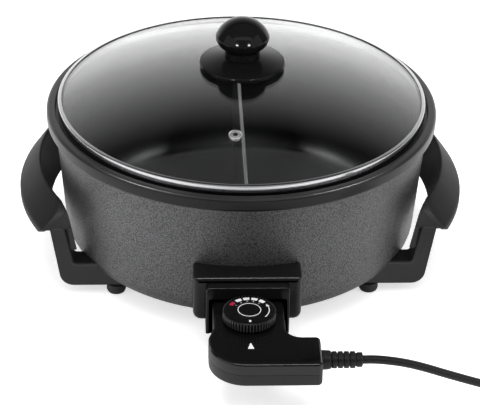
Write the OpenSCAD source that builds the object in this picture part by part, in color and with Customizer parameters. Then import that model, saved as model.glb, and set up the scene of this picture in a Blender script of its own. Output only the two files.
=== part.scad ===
// Round electric skillet with a divided pan, a domed glass lid and a plug-in temperature control.
// Millimetres. The table is z = 0, the front is -Y, and the pan's axis is vertical.

/* [Pan] */
// How far the rim stands out past the top of the wall
rim_overhang = 7; // [5:0.5:9]
// Top of the rim above the table
rim_top = 141; // [120:1:160]
// Height of the thick rim band
rim_height = 12; // [9:0.5:16]
// Depth of the step that the lid sits on
ledge_depth = 5; // [4:0.5:6]
// Underside of the base above the table
base_height = 12; // [11.5:0.5:16]
// Radius of the flat part of the base
base_radius = 128.5; // [124:0.5:134]
// Outside radius of the rounded bottom corner
corner_radius = 25; // [20:1:28]
// Thickness of the cast floor and wall
pan_wall = 4; // [3:0.5:5]
// How far the wall leans out from the corner to the rim
wall_lean = 9.5; // [6:0.5:11]
// Thickness of the divider
divider_thickness = 3.5; // [3:0.5:6]
// Drop of the divider's top below the rim's top
divider_drop = 15; // [10:1:30]

/* [Heating element] */
// Radius of the element's ring
element_ring = 85; // [70:1:95]
// Radius of the element's steel tube
element_tube = 3.25; // [3:0.05:3.5]
// Half the distance between the two terminals
terminal_half_pitch = 14.6; // [13:0.1:16]
// Height of the terminals above the table
terminal_height = 41; // [39:0.5:43]
// Radius of a terminal pin
pin_radius = 2.4; // [2:0.1:3]
// Length of a terminal pin in front of its block
pin_length = 14; // [10:0.5:15]

/* [Handles] */
// How far the grip stands out from the pan's wall
grip_reach = 42; // [37:0.5:46]
// Height of the grip's top edge
grip_top = 91; // [86:1:96]
// Height of the grip's lower lip above the table
grip_bottom = 59.5; // [56:0.5:62]
// Thickness of the grip's shell
grip_shell = 5; // [4:0.5:6]
// Distance of the leg's middle from the cross plane
leg_offset = 79; // [74:1:82]
// Width of a leg along Y
leg_width = 22; // [18:1:24]
// Underside of the handle's arm above the table
arm_bottom = 8.5; // [8:0.25:9.5]
// Radius of the rounded heel where the leg turns into the arm
heel_radius = 12; // [8:1:15]
// Radius of a rubber foot
foot_radius = 8.5; // [7:0.5:9]

/* [Lid] */
// Distance of the lid's edge inside the rim's edge
lid_setback = 10; // [9:0.5:12]
// Height of the steel band
band_height = 10; // [9:0.5:12]
// Sheet thickness of the band
band_sheet = 0.8; // [0.6:0.1:1]
// Radius of the dome's outer face
dome_radius = 423; // [400:1:460]
// Thickness of the glass
glass_thickness = 4; // [3:0.5:5]
// Distance of the vent from the lid's middle
vent_distance = 104.5; // [90:0.5:120]
// Turn of the vent from the front, to the left
vent_turn = 5; // [0:1:20]
// Radius of the vent's eyelet
vent_radius = 5.7; // [5:0.1:7]
// Radius of the steam hole
vent_hole = 2.4; // [1.5:0.1:3]

/* [Knob] */
// Radius of the knob's base plate
knob_base_radius = 37; // [32:0.5:40]
// Radius of the knob's neck
knob_neck = 15.3; // [13:0.1:17]
// Radius of the knob's head
knob_head = 23.3; // [20:0.1:26]
// Height of the knob above its base plate
knob_height = 35; // [30:1:38]

/* [Socket] */
// Width of the housing's outer block
socket_width = 89.6; // [88:0.2:96]
// Width of the inner tunnel, outside
tunnel_width = 69; // [68:0.5:71]
// Thickness of the tunnel's walls
tunnel_wall = 3.7; // [3:0.1:4]
// How far the tunnel's mouth stands in front of the pan's wall
tunnel_reach = 30.5; // [28:0.5:33]
// How far the hood's front stands in front of the pan's wall
hood_depth = 22.5; // [21:0.5:25]
// Height of the hood's top
hood_top = 71; // [69:0.5:75]
// Height of the tunnel's ceiling
tunnel_ceiling = 54; // [53.5:0.5:56]
// Height of the tunnel's legs above the table
tunnel_bottom = 21; // [18:1:26]

/* [Control] */
// Half width of the neck that enters the socket
neck_half = 29; // [27:0.5:30]
// Height of the control's underside
control_bottom = 31; // [30:0.5:32]
// Height of the control's top face
control_top = 52.3; // [51.5:0.1:53]
// Drop of the parting line below the top face
parting_drop = 10.4; // [9:0.1:11]
// Length of the control from the end inside the socket to its front
control_length = 103.75; // [99:0.25:109]
// Depth of the head's side arm, front to back
arm_depth = 39.5; // [34:0.5:42]
// Right end of the side arm
arm_right = 56; // [52:1:60]
// Left side of the head
head_left = 33.5; // [31:0.5:36]
// Radius of the head's front left corner
head_corner = 30; // [20:1:30]
// Wall thickness of the covers
cover_wall = 2.5; // [2:0.1:3]

/* [Dial] */
// Radius of the dial
dial_radius = 21.5; // [18:0.1:24]
// Height of the dial, with its foot ring
dial_height = 10; // [8:0.1:13]
// Distance of the dial's middle from the control's end inside the socket
dial_setback = 41.75; // [38:0.25:44]
// Number of finger flutes on the dial
dial_flutes = 52; // [36:1:60]
// Radius of the dial's spindle
spindle_radius = 3; // [2.5:0.1:3.5]

/* [Cord] */
// Radius of the cord
cord_radius = 3.5; // [3:0.1:3.6]
// Length of the strain relief
relief_length = 33; // [28:1:34]
// Outer turn of the stored coil, at the cord's middle
coil_radius = 45; // [43:0.5:48]
// Distance between turns that lie side by side
coil_pitch = 7.7; // [7.6:0.1:8]

/* [Fits] */
// Gap between parts that lift or slide apart
free_gap = 0.3; // [0.25:0.05:0.5]
// Radial clearance of a shaft, pin or screw
fit_clearance = 0.05; // [0.03:0.01:0.08]

/* [Hidden] */
$fn = 96;

// Pan levels and radii
floor_top = base_height + pan_wall;
corner_z = base_height + corner_radius;
corner_outer = base_radius + corner_radius;
rim_bottom = rim_top - rim_height;
ledge_z = rim_top - ledge_depth;
wall_top = corner_outer + wall_lean;
rim_radius = wall_top + rim_overhang;
lid_radius = rim_radius - lid_setback;
lid_play = 2.5;
ledge_outer = lid_radius + lid_play;
ledge_inner = wall_top - pan_wall;
rim_round = 3;
bead_half = 6.5;
bead_drop = 4.5;
element_z = base_height - bead_drop;
handle_boss_radius = 6;
handle_boss_z = arm_bottom + 13;
leg_inner = corner_outer - 7.5;
handle_boss_end = leg_inner;
boss_root = 20;

// Terminals
riser_y = corner_outer + element_tube + 2;
riser_bend = 8;
ferrule = 1;
end_angle = asin((terminal_half_pitch + element_tube + ferrule) / element_ring);
block_back = corner_outer + 1.4;
block_front = riser_y + 4;
block_half = 4;
pin_tip = block_front + pin_length;

// Socket housing
tunnel_mouth = corner_outer + tunnel_reach;
hood_front = corner_outer + hood_depth;
socket_root = 18;
rear_wall_back = block_front + 1.5;
rear_wall = 3;
rear_wall_front = rear_wall_back + rear_wall;
hood_lip = 5;
block_round = 8;
block_bottom = 29;
bar_height = 12;
socket_screw_x = (socket_width / 2 + tunnel_width / 2) / 2;
socket_screw_y = corner_outer + 6;
lug_bottom = 44;
lug_top = 52;
lug_half = 4;
screw_m4 = 2;
insulator_radius = 4.5;
probe_radius = 4;

// Control
parting_z = control_top - parting_drop;
control_back = rear_wall_front + 2;
control_front = control_back + control_length;
dial_distance = control_back + dial_setback;
arm_back = control_front - arm_depth;
neck_fillet = 16;
end_round = 4;
shoulder = 3;
inside_floor = control_bottom + cover_wall;
inside_roof = control_top - cover_wall;
screw_m3 = 1.5;
neck_screw_x = neck_half - 8;
neck_screw_y = dial_distance + 15;
control_screw_places = [
  [-neck_screw_x, -neck_screw_y], [neck_screw_x, -neck_screw_y], [arm_right - 11, -arm_back - 9]
];
screw_post = 4;
sleeve_wall = 1.2;
sleeve_end = control_back + 24;
contact_block_depth = 12;
contact_block_half = 24;
frame_half = 11;
frame_length = 34;
frame_back = dial_distance - frame_length / 2;
plate = 1.5;
post_depth = 7;
bridge_z = inside_roof - 4;
bimetal_z = inside_floor + 4.5;
spring_z = bimetal_z + 3;
spindle_bottom = spring_z + 1.2;
relief_y = arm_back + arm_depth * 0.47;
relief_z = parting_z;
relief_big = 8;
relief_small = 6.2;
relief_ribs = 3;
relief_rib_pitch = 7;
relief_first_rib = 9;

// The pan's axis stands behind the origin, so that the object's box is centred on it.
axis_y = (control_front - rim_radius) / 2;

// Lid
band_bottom = ledge_z + free_gap;
glass_radius = lid_radius - band_sheet - 0.2;
glass_edge_z = band_bottom + band_height - glass_thickness;
dome_z = glass_edge_z - sqrt(pow(dome_radius - glass_thickness, 2) - pow(glass_radius, 2));
apex_z = dome_z + dome_radius;
band_lip = 3.5;
knob_hole = 3.2;
gasket = 1.2;
gasket_inner = 9;
gasket_outer = 4;
knob_base_edge = 5;
knob_base_drop = 1.5;
knob_base_rise = 8.2;
knob_base_z = apex_z + knob_base_rise;
knob_base_depth = 20;
knob_base_wall = 12;
knob_base_room = 4;
knob_top = knob_base_z + knob_height;
knob_screw_radius = 2.5;
washer_radius = 11;
washer_height = 1.5;
washer_top = dome_z + sqrt(pow(dome_radius - glass_thickness, 2) - pow(washer_radius, 2)) - fit_clearance;

// Dial
dial_gap = 0.6;
dial_bottom = control_top + dial_gap;
dial_ring = 15;
dial_ring_height = 2;
dial_top = dial_bottom + dial_height;
flute_radius = 0.9;
flute_out = 0.35;

// Cord: where the free stretch runs, in the pan's own axes
relief_end = arm_right + relief_length;
free_run = 179;
coil_x = relief_end + free_run;
coil_z = cord_radius + 1.3;
coil_layer = 7.8;
coil_y = -relief_y + 12 + coil_radius;
coil_lead = 2 * cord_radius + 1;
turns_in = 1.75;
turns_climb = 0.5;
turns_out = 1.75;
turns_all = turns_in + turns_climb + turns_out;
rings_per_turn = 24;
plug_z = 17.6;
cord_sides = 8;
coil_sides = 6;
cord_route = [
  [relief_end, -relief_y, relief_z],
  [relief_end + 9, -relief_y, relief_z],
  [relief_end + 22, -relief_y + 0.2, relief_z - 1.5],
  [relief_end + 36, -relief_y + 0.6, relief_z - 4.5],
  [relief_end + 50, -relief_y + 1.2, relief_z - 9],
  [relief_end + 64, -relief_y + 2, relief_z - 14.5],
  [relief_end + 78, -relief_y + 3, relief_z - 20],
  [relief_end + 92, -relief_y + 4.2, relief_z - 25.5],
  [relief_end + 106, -relief_y + 5.6, relief_z - 30.5],
  [relief_end + 120, -relief_y + 7.2, relief_z - 34.5],
  [relief_end + 133, -relief_y + 8.8, coil_z + 0.4],
  [relief_end + 146, -relief_y + 10.4, coil_z],
  [relief_end + 157, -relief_y + 11.6, coil_z],
  [coil_x - coil_lead - 9, -relief_y + 12, coil_z],
  [coil_x - coil_lead, -relief_y + 12, coil_z]
];

// The coil winds inwards on the table, climbs a layer in half a turn, and winds out again on top.
function ease(t) = t < 0 ? 0 : t > 1 ? 1 : t * t * (3 - 2 * t);
function coil_inner() = coil_radius - coil_pitch * (turns_in + turns_climb);
function coil_turn_radius(t) = t < turns_in + turns_climb
  ? coil_radius - coil_pitch * t
  : coil_inner() + coil_pitch * ((t - turns_in - turns_climb) + min(0.5, t - turns_in - turns_climb));
function coil_turn_height(t) = coil_z
  + coil_layer * ease((t - turns_in) / turns_climb)
  + (plug_z - coil_z - coil_layer) * ease((t - turns_all + 0.5) / 0.5);
function coil_point(t) = [
  coil_x + coil_turn_radius(t) * cos(360 * t - 90),
  coil_y + coil_turn_radius(t) * sin(360 * t - 90),
  coil_turn_height(t)
];
coil_steps = turns_all * rings_per_turn;
coil_last = coil_point(turns_all);
coil_route = concat(
  [[coil_x - coil_lead, coil_y - coil_radius, coil_z]],
  [for (i = [0:coil_steps]) coil_point(i / rings_per_turn)],
  [coil_last + [coil_lead, 0, 0]]
);
plug_start = coil_last + [coil_lead, 0, 0];

// Least distance between points more than half a turn apart, less the tube's width
coil_gap = min([
  for (i = [0:len(coil_route) - 1])
    for (j = [i + rings_per_turn / 2:1:len(coil_route) - 1])
      norm(coil_route[i] - coil_route[j])
]) - 2 * cord_radius;
coil_length = length_of(coil_route);
function length_of(route) = sum([for (i = [1:len(route) - 1]) norm(route[i] - route[i - 1])]);
function sum(list) = list * [for (i = list) 1];
echo(coil_gap = coil_gap, cord_length = length_of(cord_route) + coil_length);

// A closed tube along a route that never runs straight up: one ring of points for each route point
function unit(v) = v / norm(v);
function heading(route, i) = unit(route[min(i + 1, len(route) - 1)] - route[max(i - 1, 0)]);
function side_of(route, i) = unit(cross(heading(route, i), [0, 0, 1]));
function ring_point(route, i, a, r) = route[i]
  + r * cos(a) * side_of(route, i)
  + r * sin(a) * cross(side_of(route, i), heading(route, i));
module tube(route, r, sides) {
  rings = len(route);
  points = concat(
    [for (i = [0:rings - 1]) for (k = [0:sides - 1]) ring_point(route, i, 360 * (k + 0.5) / sides, r)],
    [route[0], route[rings - 1]]
  );
  near_end = rings * sides;
  walls = [
    for (i = [0:rings - 2]) for (k = [0:sides - 1]) let (a = i * sides + k, b = i * sides + (k + 1) % sides)
      each [[a, a + sides, b], [b, a + sides, b + sides]]
  ];
  caps = [
    for (k = [0:sides - 1]) let (n = (k + 1) % sides, last = (rings - 1) * sides)
      each [[near_end, k, n], [near_end + 1, last + n, last + k]]
  ];
  polyhedron(points = points, faces = concat(walls, caps), convexity = 10);
}

// Everything is drawn about the pan's axis and moved into place here.
module seated() translate([0, axis_y, 0]) children();
module both_sides() {
  children();
  mirror([1, 0, 0]) children();
}
module four_corners() {
  both_sides() {
    children();
    mirror([0, 1, 0]) children();
  }
}
module ring(outer, inner, height) difference() {
  cylinder(r = outer, h = height);
  translate([0, 0, -1]) cylinder(r = inner, h = height + 2);
}
// A cylinder along Y from one distance in front of the axis to another
module forward(r, from, to) translate([0, -from, 0]) rotate([90, 0, 0]) cylinder(r = r, h = to - from);
// A block given by its low and high corners
module block(low, high) translate(low) cube(high - low);
// A flat outline in X and Z, thick along Y about a middle
module upright(middle, width) translate([0, middle + width / 2, 0]) rotate([90, 0, 0])
  linear_extrude(height = width) children();

// Half profiles of the pan's outside, grown by a gap, of its rim, and of the space inside it
module bowl_profile(gap) {
  translate([0, base_height - gap]) square([base_radius, corner_radius + gap]);
  intersection() {
    translate([base_radius, corner_z]) circle(r = corner_radius + gap);
    translate([base_radius, base_height - gap]) square([corner_radius + gap, corner_radius + gap]);
  }
  polygon([
    [0, corner_z], [corner_outer + gap, corner_z], [wall_top + gap, rim_bottom + 1], [0, rim_bottom + 1]
  ]);
}
module rim_profile() {
  translate([0, rim_bottom]) square([rim_radius - rim_round, rim_height]);
  translate([0, rim_bottom + rim_round]) square([rim_radius, rim_height - 2 * rim_round]);
  for (z = [rim_bottom + rim_round, rim_top - rim_round])
    translate([rim_radius - rim_round, z]) circle(r = rim_round);
}
module cooking_profile() {
  inner_corner = corner_radius - pan_wall;
  translate([0, floor_top]) square([base_radius, inner_corner]);
  intersection() {
    translate([base_radius, corner_z]) circle(r = inner_corner);
    translate([base_radius, floor_top]) square([inner_corner, inner_corner]);
  }
  polygon([
    [0, corner_z], [corner_outer - pan_wall, corner_z], [ledge_inner, rim_bottom],
    [ledge_inner, ledge_z], [ledge_outer, ledge_z], [ledge_outer, rim_top + 1], [0, rim_top + 1]
  ]);
}
module bowl(gap) rotate_extrude() bowl_profile(gap);
// Bosses for the screws: one along X for each leg, and a lug in the socket housing's pocket
module handle_boss(r, from, to) translate([from, leg_offset, handle_boss_z]) rotate([0, 90, 0])
  cylinder(r = r, h = to - from);
module socket_lug(gap) block(
  [socket_screw_x - lug_half - gap, -socket_screw_y - lug_half - gap, lug_bottom],
  [socket_screw_x + lug_half + gap, -corner_outer + socket_root, lug_top + gap]
);
module pan_bosses() {
  four_corners() handle_boss(handle_boss_radius, base_radius - boss_root, handle_boss_end);
  both_sides() socket_lug(0);
  translate([0, 0, terminal_height]) forward(probe_radius + 2, corner_outer - 3, corner_outer + 1);
}
// The bead stops short of the ferrules at the front.
module bead_notch() {
  notch_half = terminal_half_pitch + 3 * element_tube;
  notch_back = 2 * bead_half - element_ring;
  block([-notch_half, -element_ring - bead_half - 1, 0], [notch_half, notch_back, base_height]);
}
module pan() color("dimgray") seated() {
  difference() {
    union() {
      rotate_extrude() difference() {
        union() {
          bowl_profile(0);
          rim_profile();
          translate([element_ring - bead_half, element_z]) square([2 * bead_half, bead_drop + 1]);
        }
        cooking_profile();
        translate([element_ring, element_z]) circle(r = element_tube + fit_clearance);
      }
      difference() {
        pan_bosses();
        bowl(-pan_wall / 2);
      }
    }
    bead_notch();
    four_corners() handle_boss(screw_m4 + fit_clearance, handle_boss_end - 14, handle_boss_end + 1);
    both_sides() translate([socket_screw_x, -socket_screw_y, lug_bottom - 1])
      cylinder(r = screw_m4 + fit_clearance, h = lug_top - lug_bottom);
  }
}
module pan_divider() color("dimgray") seated() intersection() {
  block(
    [-divider_thickness / 2, -rim_radius, 0],
    [divider_thickness / 2, rim_radius, rim_top - divider_drop]
  );
  rotate_extrude() cooking_profile();
}

// The ring is open at the front, where a ferrule joins each end to a lead that runs forwards and up.
module heating_element() color("silver") seated() {
  lead_start = element_ring * cos(end_angle);
  lead_end = riser_y - riser_bend;
  size = element_tube + ferrule;
  translate([0, 0, element_z]) rotate([0, 0, end_angle - 90])
    rotate_extrude(angle = 360 - 2 * end_angle) translate([element_ring, 0]) circle(r = element_tube);
  both_sides() {
    translate([0, 0, element_z]) rotate([0, 0, end_angle])
      block([-2 * size, -element_ring - size, -size], [ferrule, -element_ring + size, size]);
    translate([terminal_half_pitch, 0, element_z]) forward(element_tube, lead_start, lead_end);
    translate([terminal_half_pitch, -lead_end, element_z + riser_bend]) rotate([0, 90, 0])
      rotate([0, 0, -90]) rotate_extrude(angle = 90) translate([riser_bend, 0]) circle(r = element_tube);
    translate([terminal_half_pitch, -riser_y, element_z + riser_bend])
      cylinder(r = element_tube, h = terminal_height - block_half - element_z - riser_bend);
  }
}
module at_terminal() translate([terminal_half_pitch, 0, terminal_height]) children();
module terminal_pins() color("silver") seated() both_sides() at_terminal() {
  block([-block_half, -block_front, -block_half], [block_half, -block_back, block_half]);
  forward(pin_radius, block_front - 1, pin_tip - 1);
  translate([0, -pin_tip + 1, 0]) rotate([90, 0, 0])
    cylinder(r1 = pin_radius, r2 = pin_radius - 1, h = 1);
}
module terminal_insulators() color("white") seated() both_sides() at_terminal() difference() {
  union() {
    forward(insulator_radius, block_front, rear_wall_front + 1);
    forward(insulator_radius + 1.5, block_front, rear_wall_back);
  }
  forward(pin_radius + fit_clearance, block_front - 1, rear_wall_front + 2);
}

// Socket housing: a hooded block, a tunnel through it that is open below, and a wall behind the tunnel
module rounded_front(half, low, high, r) {
  translate([-half, low + r]) square([2 * half, high - low - r]);
  translate([-half + r, low]) square([2 * (half - r), high - low]);
  for (x = [r - half, half - r]) translate([x, low + r]) circle(r = r);
}
module socket_body() {
  intersection() {
    upright((socket_root - hood_front - corner_outer) / 2, hood_front - corner_outer + socket_root)
      rounded_front(socket_width / 2, block_bottom, hood_top, block_round);
    rotate([90, 0, 90]) translate([0, 0, -socket_width]) linear_extrude(height = 2 * socket_width) {
      translate([-hood_front, 0]) square([hood_front, hood_top - hood_lip]);
      translate([-hood_front + hood_lip, 0]) square([hood_front - hood_lip, hood_top]);
      translate([-hood_front + hood_lip, hood_top - hood_lip]) circle(r = hood_lip);
    }
  }
  block(
    [-tunnel_width / 2, -tunnel_mouth, tunnel_bottom],
    [tunnel_width / 2, -corner_outer + socket_root, tunnel_ceiling + bar_height]
  );
}
module socket_housing() color("#222222") seated() difference() {
  tunnel_half = tunnel_width / 2 - tunnel_wall;
  socket_body();
  block([-tunnel_half, -tunnel_mouth - 1, 0], [tunnel_half, -rear_wall_front, tunnel_ceiling]);
  block([-tunnel_half, -rear_wall_back, 0], [tunnel_half, 0, tunnel_ceiling]);
  bowl(free_gap);
  both_sides() {
    socket_lug(free_gap);
    at_terminal() forward(insulator_radius + fit_clearance, rear_wall_back - 1, rear_wall_front + 1);
    translate([socket_screw_x, -socket_screw_y, 0]) {
      cylinder(r = screw_m4 + 0.2, h = lug_top);
      cylinder(r = 2 * screw_m4 + 0.2, h = block_bottom + 4);
    }
  }
  translate([0, 0, terminal_height]) forward(probe_radius + 0.6, rear_wall_back - 1, rear_wall_front + 1);
}
module socket_screws() color("silver") seated() both_sides()
  translate([socket_screw_x, -socket_screw_y, block_bottom + 4]) {
    cylinder(r = screw_m4, h = lug_top - block_bottom - 7);
    translate([0, 0, -1.3 * screw_m4]) cylinder(r = 2 * screw_m4 - 0.3, h = 1.3 * screw_m4);
  }

// Handles: a flared grip, a skirt behind it, and two legs whose arms reach under the pan to the feet
grip_radius = corner_outer + grip_reach;
grip_flare = 18.5;
grip_end = leg_offset + leg_width / 2 + 2;
grip_half_angle = asin((grip_end + 2.8) / grip_radius);
grip_round = 14;
grip_edge = grip_radius - grip_flare;
skirt_bottom = grip_bottom - 14.5;
skirt_low = corner_outer + 15;
leg_thickness = 13;
leg_slant = 0.2;
arm_top = arm_bottom + 22.5;
leg_top = grip_bottom + 8;
arm_inner = base_radius - 27.5;
foot_x = base_radius - 18.5;
foot_y = leg_offset + 5;
foot_stem = 4;
foot_stem_height = 2.5;
function leg_x(z) = leg_inner + leg_slant * (z - arm_top);
module grip_sweep() rotate([0, 0, -grip_half_angle]) rotate_extrude(angle = 2 * grip_half_angle) children();
// A window seen from the side, rounded at the top and, for the grip, at the bottom
module side_window(half, low, round_low) rotate([90, 0, 90]) linear_extrude(height = 2 * grip_radius) {
  high = grip_top + 0.5;
  translate([-half, low + round_low]) square([2 * half, high - low - round_low - grip_round]);
  translate([-half + grip_round, low]) square([2 * (half - grip_round), high - low]);
  for (y = [grip_round - half, half - grip_round]) {
    translate([y, high - grip_round]) circle(r = grip_round);
    translate([y, low + grip_round]) circle(r = min(grip_round, max(round_low, 1)));
  }
}
module grip() intersection() {
  grip_sweep() polygon([
    [grip_edge - 1, grip_top], [grip_edge + 1, grip_top], [grip_radius, grip_bottom + 7.5],
    [grip_radius, grip_bottom], [grip_radius - grip_shell, grip_bottom],
    [grip_radius - grip_shell, grip_bottom + 6], [grip_edge - 1, grip_top - grip_shell - 1]
  ]);
  side_window(grip_end, grip_bottom - 0.5, grip_round);
}
module skirt() intersection() {
  grip_sweep() polygon([
    [skirt_low, skirt_bottom], [skirt_low + grip_shell - 0.5, skirt_bottom],
    [grip_edge + 1, grip_top], [grip_edge - 1, grip_top]
  ]);
  side_window(grip_end - 2, skirt_bottom - 0.5, 0);
}
// A wall that closes the hollow between the grip and the skirt at one end
module grip_end_wall() intersection() {
  grip_sweep() polygon([
    [skirt_low + 4.3, grip_bottom + 1.5], [grip_radius - grip_shell / 2, grip_bottom + 1.5],
    [grip_radius - grip_shell / 2, grip_bottom + 6.7], [grip_edge, grip_top - 3.2]
  ]);
  block([0, grip_end - grip_shell - 2, 0], [grip_radius, grip_end - 2, grip_top]);
  side_window(grip_end - 1, grip_bottom, grip_round - 1);
}
module leg_outline() {
  heel_z = arm_bottom + heel_radius;
  heel_x = leg_x(heel_z) + leg_thickness;
  polygon([
    [arm_inner, arm_bottom], [heel_x - heel_radius, arm_bottom], [heel_x, heel_z],
    [leg_x(leg_top) + leg_thickness, leg_top], [leg_x(leg_top), leg_top],
    [leg_x(arm_top), arm_top], [arm_inner, arm_top]
  ]);
  translate([heel_x - heel_radius, heel_z]) circle(r = heel_radius);
}
// Room for the pan's base and rounded corner, which the arms reach under
module corner_room(gap) rotate_extrude() {
  translate([0, base_height - gap]) square([base_radius, corner_radius + gap]);
  translate([base_radius, corner_z]) circle(r = corner_radius + gap);
}
module leg() difference() {
  upright(leg_offset, leg_width) leg_outline();
  corner_room(0.5);
  handle_boss(handle_boss_radius + free_gap, 0, handle_boss_end);
  handle_boss(screw_m4 + 0.2, 0, grip_radius);
  handle_boss(2 * screw_m4, handle_boss_end + 8, grip_radius);
  translate([foot_x, foot_y, arm_bottom - 1]) cylinder(r = foot_stem, h = foot_stem_height + 1.1);
}
module right_handle_shape() {
  grip();
  skirt();
  for (flip = [0, 1]) mirror([0, flip, 0]) {
    grip_end_wall();
    leg();
  }
}
module right_handle() color("#3c3c3c") seated() right_handle_shape();
module left_handle() color("#3c3c3c") seated() mirror([1, 0, 0]) right_handle_shape();
module handle_screws() color("silver") seated() four_corners() {
  handle_boss(screw_m4, handle_boss_end - 13, handle_boss_end + 8);
  handle_boss(2 * screw_m4 - 0.3, handle_boss_end + 8, handle_boss_end + 10.6);
}
module foot(x_side, y_side) color("#181818") seated()
  translate([x_side * foot_x, y_side * foot_y, 0]) rotate_extrude() {
    tread = 2;
    square([foot_radius - tread, arm_bottom]);
    translate([0, tread]) square([foot_radius, arm_bottom - tread]);
    translate([foot_radius - tread, tread]) circle(r = tread);
    translate([0, arm_bottom]) square([foot_stem - fit_clearance, foot_stem_height]);
  }
module foot_front_left() foot(-1, -1);
module foot_front_right() foot(1, -1);
module foot_back_left() foot(-1, 1);
module foot_back_right() foot(1, 1);

// Lid: everything on it follows the dome's sphere.
module dome_layer(outer, inner, from, to) intersection() {
  translate([0, dome_z]) difference() {
    circle(r = dome_radius + outer, $fn = 360);
    circle(r = dome_radius + inner, $fn = 360);
  }
  translate([from, ledge_z - 5]) square([to - from, 100]);
}
module at_vent() translate([0, 0, dome_z]) rotate([0, 0, -vent_turn])
  rotate([asin(vent_distance / dome_radius), 0, 0]) translate([0, 0, dome_radius]) children();
module lid_glass() color("lightblue", 0.4) seated() difference() {
  rotate_extrude($fn = 180) dome_layer(0, -glass_thickness, knob_hole, glass_radius);
  at_vent() translate([0, 0, -2 * glass_thickness])
    cylinder(r = vent_hole + 1.2 + fit_clearance, h = 4 * glass_thickness);
}
module lid_band() color("silver") seated() rotate_extrude($fn = 180) {
  lip_from = glass_radius - band_lip;
  dome_layer(band_sheet, 0, lip_from, lid_radius);
  dome_layer(-glass_thickness, -glass_thickness - band_sheet, lip_from, lid_radius);
  translate([lid_radius - band_sheet, band_bottom]) square([band_sheet, band_height + 0.2]);
  translate([lid_radius - 4, band_bottom]) square([4, band_sheet]);
}
module vent_eyelet() color("silver") seated() at_vent() difference() {
  union() {
    translate([0, 0, 0.15]) cylinder(r = vent_radius, h = 1.4);
    translate([0, 0, -glass_thickness - 1]) cylinder(r = vent_hole + 1.2, h = glass_thickness + 2);
    translate([0, 0, -glass_thickness - 1.2]) cylinder(r = vent_radius - 1, h = 1);
  }
  translate([0, 0, -2 * glass_thickness]) cylinder(r = vent_hole, h = 4 * glass_thickness);
}
module knob_gasket() color("#101010") seated() rotate_extrude()
  dome_layer(gasket, 0, knob_base_radius - gasket_inner, knob_base_radius - gasket_outer);
module knob_base() color("#262626") seated() rotate_extrude() difference() {
  polygon([
    [knob_screw_radius + 0.2, apex_z - knob_base_depth], [knob_base_radius, apex_z - knob_base_depth],
    [knob_base_radius, apex_z + knob_base_edge - knob_base_drop], [knob_neck + 0.5, knob_base_z],
    [knob_screw_radius + 0.2, knob_base_z]
  ]);
  translate([0, dome_z]) circle(r = dome_radius + gasket + 0.1, $fn = 360);
  square([knob_base_radius - knob_base_wall, apex_z + knob_base_room]);
}
module lid_knob() color("#262626") seated() {
  neck_top = knob_base_z + knob_height * 0.2;
  head_z = knob_base_z + knob_height * 0.49;
  cap_radius = knob_head + 2;
  flare = knob_head - knob_neck;
  rotate_extrude() difference() {
    intersection() {
      polygon([
        [0, knob_base_z], [knob_neck, knob_base_z], [knob_neck, neck_top],
        [knob_neck + flare * 0.75, neck_top + (head_z - neck_top) * 0.5], [knob_head, head_z],
        [knob_head, knob_top], [0, knob_top]
      ]);
      translate([0, knob_top - cap_radius]) circle(r = cap_radius, $fn = 180);
    }
    translate([0, knob_base_z - 1]) square([knob_screw_radius + fit_clearance, knob_height * 0.6 + 1]);
  }
}
module knob_washer() color("silver") seated()
  translate([0, 0, washer_top - washer_height]) ring(washer_radius, knob_hole, washer_height);
module knob_screw() color("silver") seated() {
  head_z = washer_top - washer_height - 3;
  translate([0, 0, head_z]) cylinder(r = 2 * knob_screw_radius, h = 3);
  screw_tip = knob_base_z + knob_height * 0.5;
  translate([0, 0, head_z + 2]) cylinder(r = knob_screw_radius, h = screw_tip - head_z - 2);
}

// Temperature control: two covers with one outline, which the inside follows at the walls' thickness
module control_outline(inset) {
  left = inset - head_left;
  right = arm_right - inset;
  front = inset - control_front;
  back = -arm_back - inset;
  neck = neck_half - inset;
  corner = head_corner - inset;
  round_end = end_round - inset;
  fillet = neck_fillet + inset;
  translate([-neck, back - 1]) square([2 * neck, arm_back + 1 - control_back]);
  translate([left, front + corner]) square([right - left - round_end, back - front - corner]);
  translate([left + corner, front]) square([right - left - corner - round_end, back - front]);
  translate([left + corner, front + corner]) circle(r = corner);
  translate([right - 20, front + round_end]) square([20, back - front - 2 * round_end]);
  for (y = [front + round_end, back - round_end]) translate([right - round_end, y]) circle(r = round_end);
  polygon([[left, back], [-neck, back + 14], [-neck, back]]);
  difference() {
    translate([neck - 1, back - 1]) square([fillet + 1, fillet + 1]);
    translate([neck + fillet, back + fillet]) circle(r = fillet);
  }
}
module control_slab(inset, low, high) translate([0, 0, low]) linear_extrude(height = high - low)
  control_outline(inset);
module control_openings() {
  both_sides() at_terminal()
    forward(sleeve_radius + fit_clearance, control_back - 1, control_back + cover_wall + 1);
  translate([0, 0, terminal_height])
    forward(probe_radius + fit_clearance, control_back - 1, control_back + cover_wall + 1);
  translate([arm_right - cover_wall - 1, -relief_y, relief_z]) rotate([0, 90, 0])
    cylinder(r = relief_small - 1 + fit_clearance, h = cover_wall + 2);
}
sleeve_radius = pin_radius + fit_clearance + sleeve_wall;
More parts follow.
